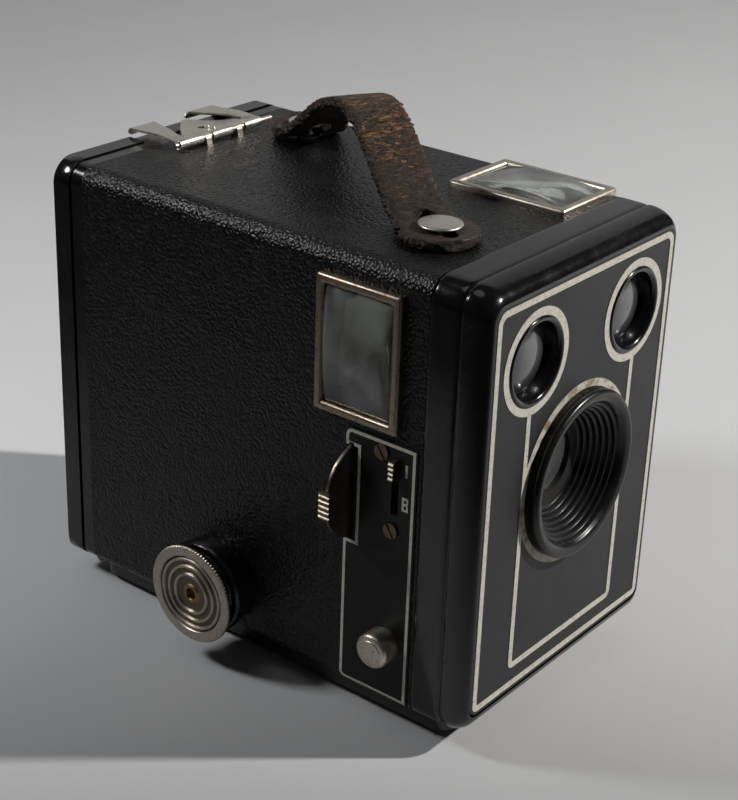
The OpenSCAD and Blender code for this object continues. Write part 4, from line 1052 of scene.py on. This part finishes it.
def rounded(corners, steps=5):
    """Rounds a polygon's corners; each corner is (x, y, radius)."""
    points = []
    count = len(corners)
    for i, (x, y, r) in enumerate(corners):
        here = Vector((x, y))
        to_last = Vector(corners[i - 1][:2]) - here
        to_next = Vector(corners[(i + 1) % count][:2]) - here
        reach = min(r, to_last.length * 0.48, to_next.length * 0.48)
        a = here + to_last.normalized() * reach
        b = here + to_next.normalized() * reach
        for k in range(steps + 1):
            t = k / steps
            points.append(a * (1 - t) ** 2 + here * 2 * t * (1 - t) + b * t ** 2)
    return points


def bent_sheet(name, corners, thick, bend, body, look, cuts):
    """A sheet with a flat outline, cut along lines of constant v and bent by bend(u, v)."""
    work = bmesh.new()
    ring = [work.verts.new((p.x, p.y, 0)) for p in rounded(corners)]
    work.faces.new(ring)
    for v in cuts:
        bmesh.ops.bisect_plane(work, geom=work.verts[:] + work.edges[:] + work.faces[:],
                               plane_co=(0, v, 0), plane_no=(0, 1, 0))
    flat = bpy.data.meshes.new(name)
    work.to_mesh(flat)
    work.free()
    for p in flat.vertices:
        p.co = Vector(bend(p.co.x, p.co.y)) * MM
    piece = placed(name, flat)
    solid = piece.modifiers.new("thickness", "SOLIDIFY")
    solid.thickness = thick * MM
    solid.offset = 1
    bevelled(piece, 0.14, 50)
    flat.shade_smooth()
    flat.materials.append(look)
    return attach(piece, body)


def latch_leaf():
    """The latch's sheet: two arms that curl over the door's rim, and a thumb tongue between them."""
    z0 = WIRE_Z + WIRE_R + 0.1
    fold_y = LATCH_HIGH[1] - 2.2
    r = 1.5
    tongue_from, tongue_middle, tongue_half = 51.0, 2.2, 11.2

    def bend(u, v):
        """Tongue pressed down a little; arms arched, then down round a quarter turn."""
        ahead = v - tongue_from
        if ahead > 0 and abs(u - tongue_middle) < tongue_half - 0.7 * ahead:
            return u, v, z0 - 0.55 * min(1.0, ahead / 5) ** 1.5 + 0.5 * max(0.0, ahead - 7) / 3
        arch = 0.5 * math.sin(math.pi * max(0.0, min(1.0, (v - 49) / 13)))
        if v <= fold_y:
            return u, v, z0 + arch
        turn = min((v - fold_y) / r, math.pi / 2)
        rest = max(0.0, v - fold_y - r * math.pi / 2)
        return u, fold_y + r * math.sin(turn), z0 + arch - r * (1 - math.cos(turn)) - rest

    tail = fold_y + r * math.pi / 2 + 0.55
    corners = [(-13.2, 48.4, 0.6), (-12.4, tail, 0.9), (-3.2, tail, 0.9), (-9.3, 51.7, 0.25),
               (-8.7, 51.1, 0.25), (-1.7, 58.7, 2.4), (1.2, 61.0, 1.2), (3.2, 61.0, 1.2),
               (6.1, 58.7, 2.4), (13.1, 51.1, 0.25), (13.7, 51.7, 0.25), (7.6, tail, 0.9),
               (16.8, tail, 0.9), (17.6, 48.4, 0.8)]
    cuts = [50, 51.3, 52.2, 53.2, 54.2, 55.2, 56.2, 57.2, 58.2, 59.2, 60.2, 61.2, fold_y]
    cuts += [fold_y + r * math.pi / 2 * i / 6 for i in range(1, 7)]
    piece = bent_sheet("latch_leaf", corners, LATCH_T, bend, "latch", LOOKS["bright"], cuts)
    hole_x, hole_y, hole_r, steps = 1.0, 53.5, 1.15, 24
    turns = [math.tau * i / steps for i in range(steps)]
    hole = [(hole_x + hole_r * math.cos(a), hole_y + hole_r * math.sin(a)) for a in turns]
    cut(piece, *prism(hole, z0 - 2, z0 + 2))
    return stand_for(piece, "latch_plate")


def latch_rolls():
    """Knuckles curled round the wire."""
    r = WIRE_R + LATCH_T
    parts = []
    for x0, x1 in ((-12.6, -4.6), (-0.8, 6.2), (11.0, 17.0)):
        wide = x1 - x0
        outside = curve([(r - 0.15, 0.0), (r, 0.2), (r, wide / 2), (r, wide - 0.2), (r - 0.15, wide)], 3)
        profile = [(WIRE_R + 0.06, 0.0)] + outside + [(WIRE_R + 0.06, wide)]
        parts.append(lathe(profile, (x0, WIRE_Y, WIRE_Z), (1, 0, 0), 40))
    return make("latch_knuckles", *joined(parts), LOOKS["bright"], "latch", 45)


def latch_rivets():
    """Two bright rivet heads on the plate."""
    dome = curve([(0.25, 0.38), (0.55, 0.26), (0.68, 0.0)], 4)
    profile = [(0.0, 0.4)] + dome + [(0.68, -0.5), (0.0, -0.5)]
    seat = WIRE_Z + WIRE_R + LATCH_T + 0.1
    places = (0.8, 51.6, seat), (1.1, 49.8, seat)
    pair = joined(lathe(profile, place, (0, 0, 1), 28) for place in places)
    return make("latch_rivets", *pair, LOOKS["bright"], "latch", 45)


def latch_wire():
    """The bent wire and the two sheet eyes that hold it to the body."""
    low, high = WIRE_LOW[0], WIRE_HIGH[0]
    long = high - low
    side = curve([(0.45, 0.02), (WIRE_R, 0.3), (WIRE_R, long / 2), (WIRE_R, long - 0.3),
                  (0.45, long - 0.02)], 3)
    parts = [lathe([(0.0, 0.0)] + side + [(0.0, long)], (low, WIRE_Y, WIRE_Z), (1, 0, 0), 32)]
    loop = [(WIRE_Y - 1.4, TOP_Z), (WIRE_Y + 1.4, TOP_Z)]
    for i in range(13):
        a = math.pi * i / 12
        loop.append((WIRE_Y + 1.1 * math.cos(a), WIRE_Z - 0.4 + 0.9 * math.sin(a)))
    eye_wide = 1.8
    for x in (-3.6, 7.8):
        upright, faces = prism(loop, x, x + eye_wide)
        parts.append(([Vector((along, y, z)) for y, z, along in upright], faces))
    return show("latch_wire", joined(parts), "nickel", "latch_bracket", 45)


# ---------- scene ----------

def stage():
    """A large sheet of pale paper that the camera stands on."""
    reach = 4000
    count = 8
    points = [(reach * (2 * i / count - 1), reach * (2 * j / count - 1), 0)
              for j in range(count + 1) for i in range(count + 1)]
    mesh = mesh_of("paper", points, sheet_faces(count, count))
    mesh.materials.append(floor_paper())
    floor = placed("paper", mesh)


def picture_camera():
    back = from_side(VIEW_AZIMUTH, VIEW_RISE)
    right = Vector((0, 0, 1)).cross(back).normalized()
    up = back.cross(right)
    turned_right = right * math.cos(VIEW_ROLL) + up * math.sin(VIEW_ROLL)
    turned_up = up * math.cos(VIEW_ROLL) - right * math.sin(VIEW_ROLL)
    data = bpy.data.cameras.new("picture_camera")
    data.sensor_width = 36
    data.lens = VIEW_LENS
    data.shift_x, data.shift_y = VIEW_SHIFT
    data.clip_start = 0.01
    view = placed("picture_camera", data)
    pose = Matrix((turned_right, turned_up, back)).transposed().to_4x4()
    pose.translation = TARGET + back * VIEW_DISTANCE
    view.matrix_world = pose
    bpy.context.scene.camera = view


def lamp(name, azimuth, rise, distance, size, power, colour=(1, 1, 1), length=None):
    """An area light that looks at the object from the given side."""
    data = bpy.data.lights.new(name, "AREA")
    data.shape = "RECTANGLE" if length else "DISK"
    data.size = size
    if length:
        data.size_y = length
    data.energy = power
    data.color = colour
    light = placed(name, data)
    aim = Vector((0, 0, 0.05))
    back = from_side(math.radians(azimuth), math.radians(rise))
    light.location = aim + back * distance
    light.rotation_euler = back.to_track_quat("Z", "Y").to_euler()
    return light


def lights():
    # azimuth 0 is in front of the lens, positive towards +X
    lamp("key", 37.7, 37, 1.31, 0.05, 17.7, (1.0, 0.985, 0.96))
    fill = lamp("fill", -142.3, 40, 0.52, 0.1, 1.1, (0.97, 0.985, 1.0))
    fill.visible_camera = False
    lamp("overhead", -142, 74, 1.2, 0.5, 0.5, (1, 1, 1))
    # a pale wall beyond the picture, which the upward faces reflect
    wall = lamp("wall", 127.65, 28, 1.25, 1.7, 1.7, (0.98, 0.99, 1.0), 1.1)
    wall.visible_camera = False
    world = bpy.data.worlds.new("studio")
    world.use_nodes = True
    sky = world.node_tree.nodes["Background"].inputs
    sky["Color"].default_value = (0.95, 0.97, 1.0, 1)
    sky["Strength"].default_value = 0.03
    bpy.context.scene.world = world
    bpy.context.scene.view_settings.view_transform = "Standard"


dress_cad_nodes()
for node, width in (("control_plate", 0.12), ("time_slider", 0.2), ("closeup_lever", 0.2),
                    ("control_screws", 0.15), ("base_plate", 0.4), ("back_door", 0.35),
                    ("red_window_ring", 0.15), ("door_hinge", 0.2)):
    soften(node, width)
front_frame()
lens_hood()
eyelets()
for window in windows():
    window_rim(window)
    window_glass(window)
release_button()
winder_cup()
winding_knob()
strap_studs()
leather_strap()
latch_leaf()
latch_rolls()
latch_rivets()
latch_wire()
stage()
picture_camera()
lights()
